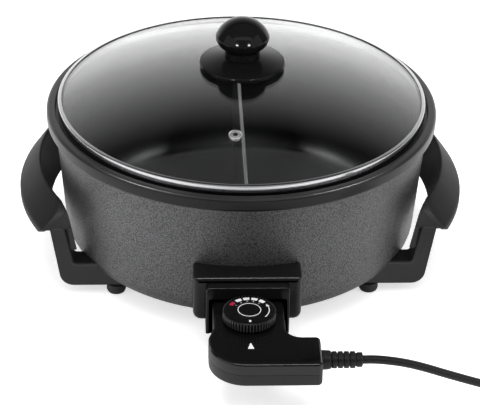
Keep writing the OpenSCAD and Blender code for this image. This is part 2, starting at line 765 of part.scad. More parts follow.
// The wall behind the neck closes the hollow, which the inset outline leaves open.
module control_hollow(low, high) intersection() {
  control_slab(cover_wall, low, high);
  block([-control_front, -control_front, low], [control_front, -control_back - cover_wall, high]);
}
module screw_places() for (p = control_screw_places) translate([p[0], p[1], 0]) children();
module control_top_cover() color("#141414") seated() difference() {
  union() {
    difference() {
      control_slab(0, parting_z, control_top);
      control_hollow(parting_z - 1, inside_roof);
    }
    screw_places() translate([0, 0, parting_z]) cylinder(r = screw_post, h = parting_drop - 1);
  }
  control_openings();
  screw_places() translate([0, 0, parting_z - 1]) cylinder(r = screw_m3 + fit_clearance, h = parting_drop - 2);
  translate([0, -dial_distance, parting_z]) cylinder(r = spindle_radius + 0.4, h = parting_drop + 1);
  both_sides() upright(-(control_back + arm_back) / 2, arm_back - control_back + 2) polygon([
    [neck_half - shoulder, control_top], [neck_half + 1, control_top - shoulder - 1],
    [neck_half + 1, control_top + 1], [neck_half - shoulder, control_top + 1]
  ]);
}
module control_bottom_cover() color("#1c1c1c") seated() difference() {
  union() {
    difference() {
      control_slab(0, control_bottom, parting_z);
      control_hollow(inside_floor, parting_z + 1);
    }
    screw_places() translate([0, 0, control_bottom + 1])
      cylinder(r = screw_post, h = parting_z - control_bottom - 1);
  }
  control_openings();
  screw_places() {
    cylinder(r = screw_m3 + 0.2, h = control_top);
    translate([0, 0, control_bottom - 1]) cylinder(r = 2 * screw_m3 + 0.2, h = 4);
  }
}
module control_screws() color("silver") seated() screw_places() translate([0, 0, control_bottom + 3]) {
  cylinder(r = screw_m3, h = parting_z - control_bottom + 3);
  translate([0, 0, -2]) cylinder(r = 2 * screw_m3, h = 2);
}
module temperature_probe() color("silver") seated() translate([0, 0, terminal_height]) {
  probe_tip = corner_outer + 1 + free_gap;
  forward(probe_radius, probe_tip + 1, control_back + cover_wall + contact_block_depth + 3);
  translate([0, -probe_tip - 1, 0]) rotate([-90, 0, 0])
    cylinder(r1 = probe_radius, r2 = probe_radius - 1, h = 1);
}
module contact_sleeve() color("goldenrod") seated() at_terminal() difference() {
  forward(sleeve_radius, control_back + 0.5, sleeve_end);
  forward(pin_radius + fit_clearance, control_back, sleeve_end - 3);
}
module right_contact_sleeve() contact_sleeve();
module left_contact_sleeve() mirror([1, 0, 0]) contact_sleeve();
module contact_block() color("white") seated() difference() {
  block(
    [-contact_block_half, -control_back - cover_wall - contact_block_depth, inside_floor],
    [contact_block_half, -control_back - cover_wall, inside_roof - 2]
  );
  both_sides() at_terminal() forward(sleeve_radius + fit_clearance, control_back, sleeve_end);
  translate([0, 0, terminal_height]) forward(probe_radius + fit_clearance, control_back, sleeve_end);
}
module thermostat_frame() color("silver") seated() {
  block(
    [-frame_half, -frame_back - frame_length, inside_floor],
    [frame_half, -frame_back, inside_floor + plate]
  );
  block([-4, -frame_back - post_depth, inside_floor], [4, -frame_back, bimetal_z]);
  difference() {
    block([-frame_half, -dial_distance - 8, inside_floor], [frame_half, -dial_distance + 8, bridge_z + plate]);
    block(
      [plate - frame_half, -dial_distance - 9, inside_floor + plate],
      [frame_half - plate, -dial_distance + 9, bridge_z]
    );
    translate([0, -dial_distance, bridge_z - 1]) cylinder(r = spindle_radius + fit_clearance, h = plate + 2);
  }
}
module bimetal_strip() color("goldenrod") seated()
  block([-4, -frame_back - frame_length + 4, bimetal_z], [4, -frame_back, bimetal_z + 1]);
module contact_spacer() color("white") seated()
  block([-4, -frame_back - post_depth, bimetal_z + 1], [4, -frame_back, spring_z]);
module contact_spring() color("goldenrod") seated()
  block([-4, -frame_back - frame_length + 6, spring_z], [4, -frame_back, spring_z + 0.6]);
module strain_relief() color("#161616") seated() translate([arm_right, -relief_y, relief_z]) rotate([0, 90, 0])
  difference() {
    union() {
      cylinder(r1 = relief_big, r2 = relief_small, h = relief_length);
      translate([0, 0, -cover_wall]) cylinder(r = relief_small - 1, h = cover_wall + 1);
      translate([0, 0, -cover_wall - 2]) cylinder(r = relief_small + 0.8, h = 2);
    }
    for (i = [0:relief_ribs - 1]) translate([0, 0, relief_first_rib + relief_rib_pitch * i])
      ring(relief_big + 1, relief_small - 1, 3);
  }
module dial_spindle() color("silver") seated() translate([0, -dial_distance, 0]) {
  translate([0, 0, spindle_bottom]) cylinder(r = spindle_radius, h = dial_top - 2.5 - spindle_bottom);
  translate([0, 0, bridge_z - free_gap - 1.5]) cylinder(r = spindle_radius + 1.5, h = 1.5);
}
module dial() color("#181818") seated() translate([0, -dial_distance, 0]) difference() {
  union() {
    translate([0, 0, dial_bottom]) cylinder(r = dial_ring, h = dial_ring_height + 1);
    translate([0, 0, dial_bottom + dial_ring_height])
      cylinder(r = dial_radius, h = dial_height - dial_ring_height);
  }
  translate([0, 0, dial_bottom - 1]) cylinder(r = spindle_radius + fit_clearance, h = dial_height - 1.5);
  for (i = [0:dial_flutes - 1]) rotate([0, 0, 360 * i / dial_flutes])
    translate([dial_radius + flute_out, 0, dial_bottom]) cylinder(r = flute_radius, h = dial_height - 1, $fn = 16);
}

// Cord, its coil and tie, and the plug beside the coil
module power_cord() color("#101010") seated() tube(cord_route, cord_radius, cord_sides);
module cord_coil() color("#101010") seated() tube(coil_route, cord_radius, coil_sides);
module cord_tie() color("#282828") seated() {
  tie_width = 10;
  tie_sheet = 0.7;
  low = coil_inner() + coil_pitch * 0.5 - cord_radius - 0.9;
  high = coil_radius + cord_radius - coil_pitch * 0.5 + 0.9;
  top = coil_z + coil_layer + cord_radius + 0.5;
  translate([coil_x - tie_width / 2, coil_y, 0]) difference() {
    block([0, low - tie_sheet, 0.2], [tie_width, high + tie_sheet, top + tie_sheet]);
    block([-1, low, 0.2 + tie_sheet], [tie_width + 1, high, top]);
  }
}
plug_radius = plug_z - 0.2;
plug_neck = 24;
plug_length = 54;
plug_pin_length = 19;
plug_pin_half_pitch = 9.5;
plug_pin_radius = 2.4;
module along_plug() seated() translate(plug_start) rotate([0, 90, 0]) children();
module plug_body() color("#141414") along_plug() {
  cylinder(r1 = cord_radius + 1.5, r2 = cord_radius + 4, h = plug_neck);
  translate([0, 0, plug_neck]) cylinder(r1 = plug_radius - 7, r2 = plug_radius, h = 9);
  translate([0, 0, plug_neck + 9]) cylinder(r = plug_radius, h = plug_length - plug_neck - 9);
}
module plug_pins() color("silver") along_plug() for (side = [-1, 1])
  translate([0, side * plug_pin_half_pitch, plug_length]) {
    cylinder(r = plug_pin_radius, h = plug_pin_length - 2);
    translate([0, 0, plug_pin_length - 2]) cylinder(r1 = plug_pin_radius, r2 = plug_pin_radius - 1, h = 2);
  }

pan();
pan_divider();
heating_element();
terminal_pins();
terminal_insulators();
socket_housing();
socket_screws();
left_handle();
right_handle();
handle_screws();
foot_front_left();
foot_front_right();
foot_back_left();
foot_back_right();
lid_glass();
lid_band();
vent_eyelet();
lid_knob();
knob_base();
knob_gasket();
knob_washer();
knob_screw();
control_top_cover();
control_bottom_cover();
control_screws();
temperature_probe();
left_contact_sleeve();
right_contact_sleeve();
contact_block();
thermostat_frame();
bimetal_strip();
contact_spacer();
contact_spring();
strain_relief();
dial();
dial_spindle();
power_cord();
cord_coil();
cord_tie();
plug_body();
plug_pins();
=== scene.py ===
"""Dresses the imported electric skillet: enamelled pan, glass lid, handles, plug-in control and cord."""

import math

import bmesh
import bpy
from mathutils import Matrix, Vector


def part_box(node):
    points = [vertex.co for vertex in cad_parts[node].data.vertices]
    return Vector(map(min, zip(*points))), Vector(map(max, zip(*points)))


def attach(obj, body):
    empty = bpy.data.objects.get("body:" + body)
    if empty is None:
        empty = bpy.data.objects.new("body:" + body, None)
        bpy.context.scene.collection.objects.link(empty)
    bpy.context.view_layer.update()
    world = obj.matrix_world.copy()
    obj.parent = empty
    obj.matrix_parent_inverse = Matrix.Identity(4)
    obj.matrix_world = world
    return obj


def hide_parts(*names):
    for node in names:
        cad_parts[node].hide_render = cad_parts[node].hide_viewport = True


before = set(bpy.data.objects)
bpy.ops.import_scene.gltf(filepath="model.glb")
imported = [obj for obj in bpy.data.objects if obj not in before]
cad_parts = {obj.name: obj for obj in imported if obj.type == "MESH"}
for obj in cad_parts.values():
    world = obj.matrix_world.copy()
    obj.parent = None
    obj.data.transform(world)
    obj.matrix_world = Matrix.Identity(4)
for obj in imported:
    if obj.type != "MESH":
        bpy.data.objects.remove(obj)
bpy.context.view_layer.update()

bl_info = {
    "name": "Electric Skillet",
    "version": (1, 0, 0),
    "blender": (4, 5, 0),
    "location": "View3D > Sidebar > Skillet",
    "description": "Builds the visible pieces of a divided electric skillet over its packed frame",
    "category": "Object",
}

# Pieces are drawn in millimetres about the pan's axis, as the frame's own solids are, and then seated.
MM = 0.001
PAN_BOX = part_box("pan")
AXIS_Y = (PAN_BOX[0][1] + PAN_BOX[1][1]) / 2
SEAT = Matrix.Translation((0, AXIS_Y, 0)) @ Matrix.Scale(MM, 4)
UNSEAT = SEAT.inverted()


def reach(node):
    """Low and high corners of a CAD node, in millimetres about the pan's axis."""
    low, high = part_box(node)
    return UNSEAT @ Vector(low), UNSEAT @ Vector(high)


# Pan
RIM_RADIUS = reach("pan")[1].x
RIM_TOP = reach("pan")[1].z
RIM_HEIGHT = 12
RIM_BOTTOM = RIM_TOP - RIM_HEIGHT
BASE_Z = 12
BASE_RADIUS = 128.5
CORNER = 25
CORNER_Z = BASE_Z + CORNER
WALL_LOW = BASE_RADIUS + CORNER
WALL_LEAN = 9.5
WALL_HIGH = WALL_LOW + WALL_LEAN
WALL = 4
LEDGE_DEPTH = 5
LEDGE_Z = RIM_TOP - LEDGE_DEPTH
LEDGE_OUTER = 162.5
BEAD_LOW = 7.5
BEAD_RING = 85
BEAD_HALF = 6.5

# Lid
LID_RADIUS = reach("lid_band")[1].x
DOME_RADIUS = 423
GLASS = 4
KNOB_TOP = reach("lid_knob")[1].z
KNOB_FOOT = reach("lid_knob")[0].z
PLATE_RISE = 8.2
APEX_Z = KNOB_FOOT - PLATE_RISE
DOME_Z = APEX_Z - DOME_RADIUS
VENT_RADIUS = 104.5
VENT_TURN = math.radians(-5)

# Handles
LEG_Y = 79
LEG_WIDTH = 22
LEG_FOOT = 8.5
LEG_TUCK = 7.5
LEG_INNER = WALL_LOW - LEG_TUCK
ARM_TOP = 31
BOSS_Z = 21.5
GRIP_TOP = 91
GRIP_LOW = 59.5
GRIP_OUT = 195.5
GRIP_ROOT = 176
GRIP_SHEET = 2
GRIP_HALF = 92
GRIP_CORNER_LOW = 12
GRIP_CORNER_HIGH = 14
SKIRT_HALF = 90
SKIRT_LOW = 45
# Where the pan doesn't reach over a spot, its underside counts as this high.
OPEN_SKY = 1000.0

# Control and cord
CONTROL_TOP = reach("control_top_cover")[1].z
PARTING = reach("control_top_cover")[0].z
CONTROL_BOTTOM = reach("control_bottom_cover")[0].z
CONTROL_FRONT = -reach("control_top_cover")[0].y
CONTROL_BACK = -reach("control_top_cover")[1].y
ARM_RIGHT = reach("control_top_cover")[1].x
ARM_WIDTH = 39.5
ARM_BACK = CONTROL_FRONT - ARM_WIDTH
DIAL_Y = -211
DIAL_LOW = reach("dial")[0].z
DIAL_HIGH = reach("dial")[1].z
TERMINAL_X = 14.6
TERMINAL_Z = 41
RELIEF_Y = ARM_BACK + ARM_WIDTH * 0.47
RELIEF_LENGTH = 33
RELIEF_END = ARM_RIGHT + RELIEF_LENGTH
CORD_RADIUS = 3.5


# Outlines and shapes


def filleted(corners, closed=True, steps=6):
    """A line through corners given as (x, y, radius), each rounded by its own radius."""
    line = []
    count = len(corners)
    for i, (x, y, radius) in enumerate(corners):
        at_end = not closed and i in (0, count - 1)
        if radius == 0 or at_end:
            line.append((x, y))
            continue
        here = Vector((x, y))
        back = Vector(corners[i - 1][:2]) - here
        ahead = Vector(corners[(i + 1) % count][:2]) - here
        u = back.normalized()
        v = ahead.normalized()
        half = math.acos(max(-1.0, min(1.0, u.dot(v)))) / 2
        run = min(radius / math.tan(half), back.length * 0.49, ahead.length * 0.49)
        size = run * math.tan(half)
        centre = here + (u + v).normalized() * (size / math.sin(half))
        start = here + u * run - centre
        end = here + v * run - centre
        first = math.atan2(start.y, start.x)
        turn = math.atan2(start.x * end.y - start.y * end.x, start.dot(end))
        for k in range(steps + 1):
            a = first + turn * k / steps
            line.append((centre.x + size * math.cos(a), centre.y + size * math.sin(a)))
    return line


def subdivided(line, step):
    """The closed line with points added so that none are further apart than a step."""
    dense = []
    for i, here in enumerate(line):
        a = Vector(here)
        b = Vector(line[(i + 1) % len(line)])
        parts = max(1, math.ceil((b - a).length / step))
        dense.extend(tuple(a.lerp(b, k / parts)) for k in range(parts))
    return dense


def area_of(outline):
    """Signed area of a closed outline: positive where it runs anticlockwise."""
    pairs = zip(outline, outline[1:] + outline[:1])
    return sum(a[0] * b[1] - b[0] * a[1] for a, b in pairs) / 2


def inset(outline, amount):
    """The closed outline moved inwards along its corners' normals."""
    if amount == 0:
        return list(outline)
    sign = 1 if area_of(outline) > 0 else -1
    moved = []
    count = len(outline)
    for i, here in enumerate(outline):
        u = (Vector(here) - Vector(outline[i - 1])).normalized()
        v = (Vector(outline[(i + 1) % count]) - Vector(here)).normalized()
        normal = Vector((-u.y - v.y, u.x + v.x))
        normal = normal.normalized() if normal.length > 1e-6 else Vector((-u.y, u.x))
        spread = max(0.35, normal.dot(Vector((-u.y, u.x))))
        moved.append(tuple(Vector(here) + normal * (sign * amount / spread)))
    return moved


def rounded_end(end, inward, radius, steps=5):
    """Levels and insets over one end of a solid, from a holding loop on its flat face to its full section."""
    hold = 0.35
    turns = [math.pi / 2 * k / steps for k in range(steps, -1, -1)] if radius else [0.0]
    rise = [(end + inward * radius * (1 - math.sin(a)), radius * (1 - math.cos(a))) for a in turns]
    return [(end, radius + hold)] + rise


def rounded_levels(low, high, round_low, round_high, steps=5):
    """Levels and insets of a solid whose two end edges are rounded."""
    return rounded_end(low, 1, round_low, steps) + rounded_end(high, -1, round_high, steps)[::-1]


def bridged(shape, first, second):
    """A band of faces between two closed loops of as many points."""
    for i in range(len(first)):
        j = (i + 1) % len(first)
        shape.faces.new((first[i], first[j], second[j], second[i]))


def stacked(outline, levels, spot):
    """Closed solid through copies of an outline at (level, inset); spot(x, y, level) gives the point."""
    shape = bmesh.new()
    loops = []
    for level, amount in levels:
        loops.append([shape.verts.new(spot(x, y, level)) for x, y in inset(outline, amount)])
    for low, high in zip(loops, loops[1:]):
        bridged(shape, low, high)
    shape.faces.new(loops[0][::-1])
    shape.faces.new(loops[-1])
    tidy(shape)
    return shape


def turned(profile, steps=160, closed=True, turn=None):
    """Solid of revolution of a profile of (radius, height), about Z or about the turned axis."""
    shape = bmesh.new()
    turn = turn or Matrix.Identity(4)
    angles = [2 * math.pi * k / steps for k in range(steps)]
    rings = []
    for radius, height in profile:
        points = [Vector((radius * math.cos(a), radius * math.sin(a), height)) for a in angles]
        rings.append([shape.verts.new(turn @ point) for point in points])
    ends = rings[1:] + rings[:1] if closed else rings[1:]
    for low, high in zip(rings, ends):
        bridged(shape, low, high)
    tidy(shape)
    return shape


def upward(x, y, z):
    """Outline in X and Y, stacked along Z."""
    return Vector((x, y, z))


def sideways(x, z, y):
    """Outline in X and Z, stacked along Y."""
    return Vector((x, y, z))


def across(y, z, x):
    """Outline in Y and Z, stacked along X."""
    return Vector((x, y, z))


def tidy(shape):
    """Joins doubled points and turns every face outwards."""
    bmesh.ops.remove_doubles(shape, verts=shape.verts, dist=0.002)
    bmesh.ops.dissolve_degenerate(shape, edges=shape.edges, dist=0.0005)
    bmesh.ops.recalc_face_normals(shape, faces=shape.faces)


def bare_object(name, shape):
    """A new object at the origin that takes over the shape."""
    mesh = bpy.data.meshes.new(name)
    shape.to_mesh(mesh)
    shape.free()
    thing = bpy.data.objects.new(name, mesh)
    bpy.context.scene.collection.objects.link(thing)
    return thing


def settled_mesh(thing):
    """A plain mesh of the object as its modifiers leave it; the object itself is removed."""
    depsgraph = bpy.context.evaluated_depsgraph_get()
    depsgraph.update()
    mesh = bpy.data.meshes.new_from_object(thing.evaluated_get(depsgraph), depsgraph=depsgraph)
    bpy.data.objects.remove(thing)
    return mesh


def without_slivers(shape):
    """Closes up specks that a cut leaves, and drops faces that lie back to back."""
    speck = 0.004
    bmesh.ops.remove_doubles(shape, verts=shape.verts, dist=speck)
    bmesh.ops.dissolve_degenerate(shape, edges=shape.edges, dist=speck)
    alike = {}
    for face in shape.faces:
        alike.setdefault(frozenset(face.verts), []).append(face)
    doubled = [face for group in alike.values() if len(group) > 1 for face in group]
    bmesh.ops.delete(shape, geom=doubled, context="FACES")
    bmesh.ops.holes_fill(shape, edges=[edge for edge in shape.edges if edge.is_boundary], sides=0)


def carved(shape, cutters, thorough=False):
    """The shape with each cutter's solid taken out of it; thorough is slower, and copes with deep hollows."""
    tidy(shape)
    wide_faces = [face for face in shape.faces if len(face.verts) > 4]
    bmesh.ops.triangulate(shape, faces=wide_faces, ngon_method="EAR_CLIP")
    body = bare_object("carving", shape)
    tools = []
    for cutter in cutters:
        tidy(cutter)
        tool = bare_object("cutter", cutter)
        tool.hide_render = True
        tools.append(tool)
        cut = body.modifiers.new("cut", "BOOLEAN")
        cut.operation = "DIFFERENCE"
        cut.solver = "EXACT"
        cut.use_self = thorough
        cut.object = tool
    mesh = settled_mesh(body)
    for tool in tools:
        bpy.data.objects.remove(tool)
    result = bmesh.new()
    result.from_mesh(mesh)
    bpy.data.meshes.remove(mesh)
    without_slivers(result)
    return result


def rod(radius, start, end, steps=32):
    """A plain round cutter between two points."""
    start = Vector(start)
    axis = Vector(end) - start
    turn = Matrix.Translation(start) @ axis.to_track_quat("Z", "Y").to_matrix().to_4x4()
    return turned([(0, 0), (radius, 0), (radius, axis.length), (0, axis.length)], steps, False, turn)


def added(shape, *others):
    """Puts the faces of other shapes into this one, and frees them."""
    for other in others:
        tidy(other)
        mesh = bpy.data.meshes.new("part")
        other.to_mesh(mesh)
        other.free()
        shape.from_mesh(mesh)
        bpy.data.meshes.remove(mesh)
    return shape


def seated_piece(name, shape, body, finishes, nodes, crease=32):
    """Makes the finished piece: seated in the row's frame, smooth but for its creases, riding on its body."""
    bmesh.ops.transform(shape, matrix=SEAT, verts=shape.verts)
    piece = bare_object(name, shape)
    dressed(piece, body, finishes, nodes, crease)
    return piece


def dressed(piece, body, finishes, nodes, crease=32):
    """Shades and colours a piece, and tells the frame what it rides on and stands for."""
    mesh = piece.data
    mesh.polygons.foreach_set("use_smooth", [True] * len(mesh.polygons))
    mesh.set_sharp_from_angle(angle=math.radians(crease))
    if len(mesh.materials):
        mesh.materials.clear()
    for finish in finishes:
        mesh.materials.append(finish)
    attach(piece, body)
    if nodes:
        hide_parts(*nodes)


# Nodes and shared surface effects


MADE = {}


def made(key, maker, *values):
    """One copy of each material or node group, made when first asked for."""
    if key not in MADE:
        MADE[key] = maker(*values)
    return MADE[key]


def feed(tree, node, feeds):
    """Sets each named input of a node to a plain value, or links it from an output."""
    for label, value in feeds.items():
        if isinstance(value, bpy.types.NodeSocket):
            tree.links.new(value, node.inputs[label])
        else:
            node.inputs[label].default_value = value


def add_node(tree, kind, feeds=None, **settings):
    """A new node with its settings and feeds."""
    node = tree.nodes.new(kind)
    for label, value in settings.items():
        setattr(node, label, value)
    feed(tree, node, feeds or {})
    return node


def new_tree(name, kind, inputs, outputs):
    """An empty node group with its named sockets, and the outputs of its Group Input."""
    tree = bpy.data.node_groups.new(name, kind)
    for label, socket in inputs.items():
        tree.interface.new_socket(label, in_out="INPUT", socket_type="NodeSocket" + socket)
    for label, socket in outputs.items():
        tree.interface.new_socket(label, in_out="OUTPUT", socket_type="NodeSocket" + socket)
    return tree, add_node(tree, "NodeGroupInput").outputs


def mottle_group():
    """Cloudy variation of two scales: a wide smudge and a fine speckle."""
    tree, source = new_tree(
        "mottle",
        "ShaderNodeTree",
        {"Vector": "Vector", "Smudge Scale": "Float", "Speckle Scale": "Float", "Speckle Share": "Float"},
        {"Mask": "Float", "Speckle": "Float"},
    )
    place = source["Vector"]
    smudge = {"Vector": place, "Scale": source["Smudge Scale"], "Detail": 3.0}
    speckle = {"Vector": place, "Scale": source["Speckle Scale"], "Detail": 2.0}
    wide = add_node(tree, "ShaderNodeTexNoise", smudge).outputs["Fac"]
    fine = add_node(tree, "ShaderNodeTexNoise", speckle).outputs["Fac"]
    mix = add_node(tree, "ShaderNodeMix", {0: source["Speckle Share"], 2: wide, 3: fine})
    add_node(tree, "NodeGroupOutput", {"Mask": mix.outputs[0], "Speckle": fine})
    return tree


def turned_group():
    """Fine rings round an upright axis, as polishing on a lathe leaves them."""
    tree, source = new_tree(
        "turned_grain", "ShaderNodeTree", {"Vector": "Vector", "Scale": "Float"}, {"Mask": "Float"}
    )
    place = source["Vector"]
    split = add_node(tree, "ShaderNodeSeparateXYZ", {0: place})
    flat = add_node(tree, "ShaderNodeVectorMath", {0: place, 1: (1.0, 1.0, 0.0)}, operation="MULTIPLY")
    length = add_node(tree, "ShaderNodeVectorMath", {0: flat.outputs[0]}, operation="LENGTH")
    join = add_node(tree, "ShaderNodeCombineXYZ", {"X": length.outputs["Value"], "Y": split.outputs["Z"]})
    rings = {"Vector": join.outputs[0], "Scale": source["Scale"], "Detail": 2.0}
    grain = add_node(tree, "ShaderNodeTexNoise", rings)
    add_node(tree, "NodeGroupOutput", {"Mask": grain.outputs["Fac"]})
    return tree


class Finish:
    """One material with its Principled shader, Object coordinates and shared effects at hand."""

    def __init__(self, name, roughness=0.5, metallic=0.0, specular=0.5):
        self.material = bpy.data.materials.new(name)
        self.material.use_nodes = True
        self.tree = self.material.node_tree
        self.shader = self.tree.nodes["Principled BSDF"]
        self.shade({"Roughness": roughness, "Metallic": metallic, "Specular IOR Level": specular})
        self.place = self.node("ShaderNodeTexCoord").outputs["Object"]

    def node(self, kind, feeds=None, **settings):
        """A new node in this material."""
        return add_node(self.tree, kind, feeds, **settings)

    def shade(self, feeds):
        """Sets or links inputs of the shader."""
        feed(self.tree, self.shader, feeds)

    def group(self, maker, feeds):
        """Outputs of a shared group, fed by the Object coordinates."""
        tree = made(maker.__name__, maker)
        return self.node("ShaderNodeGroup", {"Vector": self.place, **feeds}, node_tree=tree).outputs

    def mottle(self, smudge, speckle, share):
        """Outputs of the mottle at this material's own scales."""
        scales = {"Smudge Scale": smudge, "Speckle Scale": speckle, "Speckle Share": share}
        return self.group(mottle_group, scales)

    def ramp(self, mask, low, high, start=0.3, end=0.7):
        """Two colours spread over a mask."""
        node = self.node("ShaderNodeValToRGB", {"Fac": mask})
        for stop, place, colour in zip(node.color_ramp.elements, (start, end), (low, high)):
            stop.position = place
            stop.color = (*colour, 1.0)
        return node.outputs["Color"]

    def spread(self, mask, low, high, start=0.3, end=0.7, **settings):
        """A mask stretched between two values."""
        feeds = {"Value": mask, "From Min": start, "From Max": end, "To Min": low, "To Max": high}
        return self.node("ShaderNodeMapRange", feeds, **settings).outputs["Result"]

    def math(self, operation, first, second=0.0, **settings):
        """The result of one step of arithmetic."""
        return self.node("ShaderNodeMath", {0: first, 1: second}, operation=operation, **settings).outputs[0]

    def axis(self, label):
        """One of the Object coordinates."""
        return self.node("ShaderNodeSeparateXYZ", {0: self.place}).outputs[label]

    def surface(self, mask, low, high, rough):
        """Spreads two colours and two values of roughness over a mask."""
        self.shade({"Base Color": self.ramp(mask, low, high), "Roughness": self.spread(mask, *rough)})

    def bump(self, height, distance, strength=1.0):
        """Small relief from a height."""
        feeds = {"Height": height, "Distance": distance, "Strength": strength}
        self.shade({"Normal": self.node("ShaderNodeBump", feeds).outputs["Normal"]})


def scaled(colour, factor):
    """A colour made darker or lighter."""
    return tuple(min(1.0, c * factor) for c in colour)


# Finishes


def moulded(name, colour, rough_low, rough_high, grain=0.00004, speckle=1400.0, specular=0.5):
    """Moulded plastic or rubber: a little uneven in colour and gloss, with a fine grain."""
    finish = Finish(name, specular=specular)
    mottle = finish.mottle(22.0, speckle, 0.45)
    finish.surface(mottle["Mask"], scaled(colour, 0.8), scaled(colour, 1.22), (rough_low, rough_high))
    finish.bump(mottle["Speckle"], grain)
    return finish.material


def turned_metal(name, colour, rough_low, rough_high, scale=2600.0):
    """Bare metal with fine turning marks."""
    finish = Finish(name, metallic=1.0)
    rings = finish.group(turned_group, {"Scale": scale})["Mask"]
    finish.surface(rings, scaled(colour, 0.86), scaled(colour, 1.06), (rough_low, rough_high))
    finish.bump(rings, 0.00001)
    return finish.material


def hammered_enamel(look):
    """Dark grey enamel that dries in small pebbles, each painted lighter at its crown as a painted highlight.
    """
    finish = Finish("hammered_enamel", metallic=0.6)
    noise = {"Vector": finish.place, "Scale": 0.45 / look.pebble, "Detail": 2.0}
    bend = finish.node("ShaderNodeTexNoise", noise)
    push = finish.node(
        "ShaderNodeVectorMath",
        {0: bend.outputs["Color"], 1: (look.pebble,) * 3, 2: finish.place},
        operation="MULTIPLY_ADD",
    )
    cells = {"Vector": push.outputs[0], "Scale": 1.0 / look.pebble, "Smoothness": 0.7, "Randomness": 1.0}
    pebbles = finish.node("ShaderNodeTexVoronoi", cells, feature="SMOOTH_F1")
    # Painted highlight: the middle of each pebble is painted lighter, as though light caught its crown.
    crown_highlight = finish.spread(pebbles.outputs["Distance"], 1.0, 0.0, 0.1, 0.75)
    mottle = finish.mottle(60.0, 700.0, 0.6)["Mask"]
    # Mixes that painted highlight with a random mottle, which is the enamel's own uneven tone.
    crown_highlight_and_mottle = finish.node("ShaderNodeMix", {0: 0.2, 2: crown_highlight, 3: mottle}).outputs[0]
    enamel = tuple(look.enamel)
    paint = finish.ramp(crown_highlight_and_mottle, scaled(enamel, 0.45), scaled(enamel, 1.5), 0.25, 0.75)
    finish.shade({"Base Color": paint, "Roughness": finish.spread(mottle, 0.34, 0.5)})
    finish.bump(crown_highlight_and_mottle, 0.00022, 0.8)
    return finish.material


def release_coat(look):
    """Satin black cooking coat with a fine sparkle of lighter flecks."""
    finish = Finish("release_coat", specular=0.35)
    mottle = finish.mottle(30.0, 1200.0, 0.6)
    coat = tuple(look.coat)
    finish.surface(mottle["Mask"], scaled(coat, 0.7), scaled(coat, 1.35), (0.36, 0.5))
    finish.bump(mottle["Speckle"], 0.00006)
    return finish.material


def lid_glass_finish():
    """Clear tempered glass with a faint film of handling."""
    finish = Finish("tempered_glass", roughness=0.0)
    finish.shade({"IOR": 1.5, "Transmission Weight": 1.0})
    film = finish.mottle(14.0, 300.0, 0.2)["Mask"]
    finish.surface(film, (0.93, 0.95, 0.94), (0.97, 0.98, 0.98), (0.0, 0.03))
    return finish.material


def printed(name, colour):
    """Screen-printed ink, thin at places."""
    finish = Finish(name)
    finish.surface(finish.mottle(200.0, 2500.0, 0.5)["Mask"], scaled(colour, 0.88), colour, (0.4, 0.55))
    return finish.material


def charcoal():
    """The handles' matt resin."""
    colour = tuple(bpy.context.scene.skillet_handles.colour)
    return made("charcoal", moulded, "charcoal_resin", colour, 0.42, 0.56, 0.00008, 1100.0, 0.05)


def knob_black():
    """The lid knob's glossy resin."""
    return made("knob", moulded, "knob_resin", (0.003, 0.003, 0.0032), 0.06, 0.11, 0.000002, 1400.0, 0.1)


def socket_black():
    """The socket housing's resin."""
    return made("socket", moulded, "socket_resin", (0.005, 0.005, 0.0053), 0.12, 0.2, 0.00001, 1400.0, 0.25)


def gloss_black():
    """The control's glossy top and the dial."""
    colour = tuple(bpy.context.scene.skillet_control.colour)
    return made("gloss", moulded, "gloss_black_resin", colour, 0.05, 0.11, 0.000002, 1400.0, 0.3)


def side_black():
    """The control's satin sides."""
    colour = tuple(bpy.context.scene.skillet_control.side_colour)
    return made("side", moulded, "satin_black_resin", colour, 0.36, 0.48, 0.00004, 1400.0, 0.35)


def ridge_black():
    """The dial's satin ridges, in a lighter grey than the dial's top as a painted sheen."""
    return made("ridges", moulded, "satin_ridges", (0.03, 0.03, 0.031), 0.25, 0.35, 0.00001, 1400.0, 0.6)


def cord_rubber():
    """The cord, its strain relief and the plug."""
    colour = tuple(bpy.context.scene.skillet_cord.colour)
    return made("cord", moulded, "cord_rubber", colour, 0.3, 0.4, 0.00002, 1400.0, 0.25)


def black_rubber():
    """The feet and the knob's gasket."""
    return made("rubber", moulded, "black_rubber", (0.016, 0.016, 0.017), 0.48, 0.62)


def white_ink():
    """The white print on the control and dial."""
    return made("white_ink", printed, "white_ink", (0.8, 0.8, 0.8))


# Sizes and colours that a user may change


COLOUR = {"subtype": "COLOR", "min": 0.0, "max": 1.0}
POWER = {"unit": "POWER", "min": 0.0, "max": 500.0}


class PanLook(bpy.types.PropertyGroup):
    """Looks of the pan."""

    enamel: bpy.props.FloatVectorProperty(
        name="Enamel",
        description="Middle colour of the hammered outside",
        default=(0.11, 0.11, 0.113),
        **COLOUR,
    )
    coat: bpy.props.FloatVectorProperty(
        name="Coat",
        description="Colour of the cooking coat and rim",
        default=(0.008, 0.008, 0.0085),
        **COLOUR,
    )
    pebble: bpy.props.FloatProperty(
        name="Pebble",
        description="Size of the hammered enamel's pebbles",
        unit="LENGTH",
        default=0.0009,
        min=0.0005,
        max=0.01,
    )
    rim_round: bpy.props.FloatProperty(
        name="Rim rounding",
        description="Rounding of the rim's edges, in millimetres",
        default=3.0,
        min=1.0,
        max=5.0,
    )


class HandleLook(bpy.types.PropertyGroup):
    """Looks of the handles."""

    colour: bpy.props.FloatVectorProperty(
        name="Resin",
        description="Colour of the moulded charcoal resin",
        default=(0.0075, 0.0075, 0.0078),
        **COLOUR,
    )
    leg_round: bpy.props.FloatProperty(
        name="Leg rounding",
        description="Rounding of the legs' edges, in millimetres",
        default=2.0,
        min=0.5,
        max=2.4,
    )


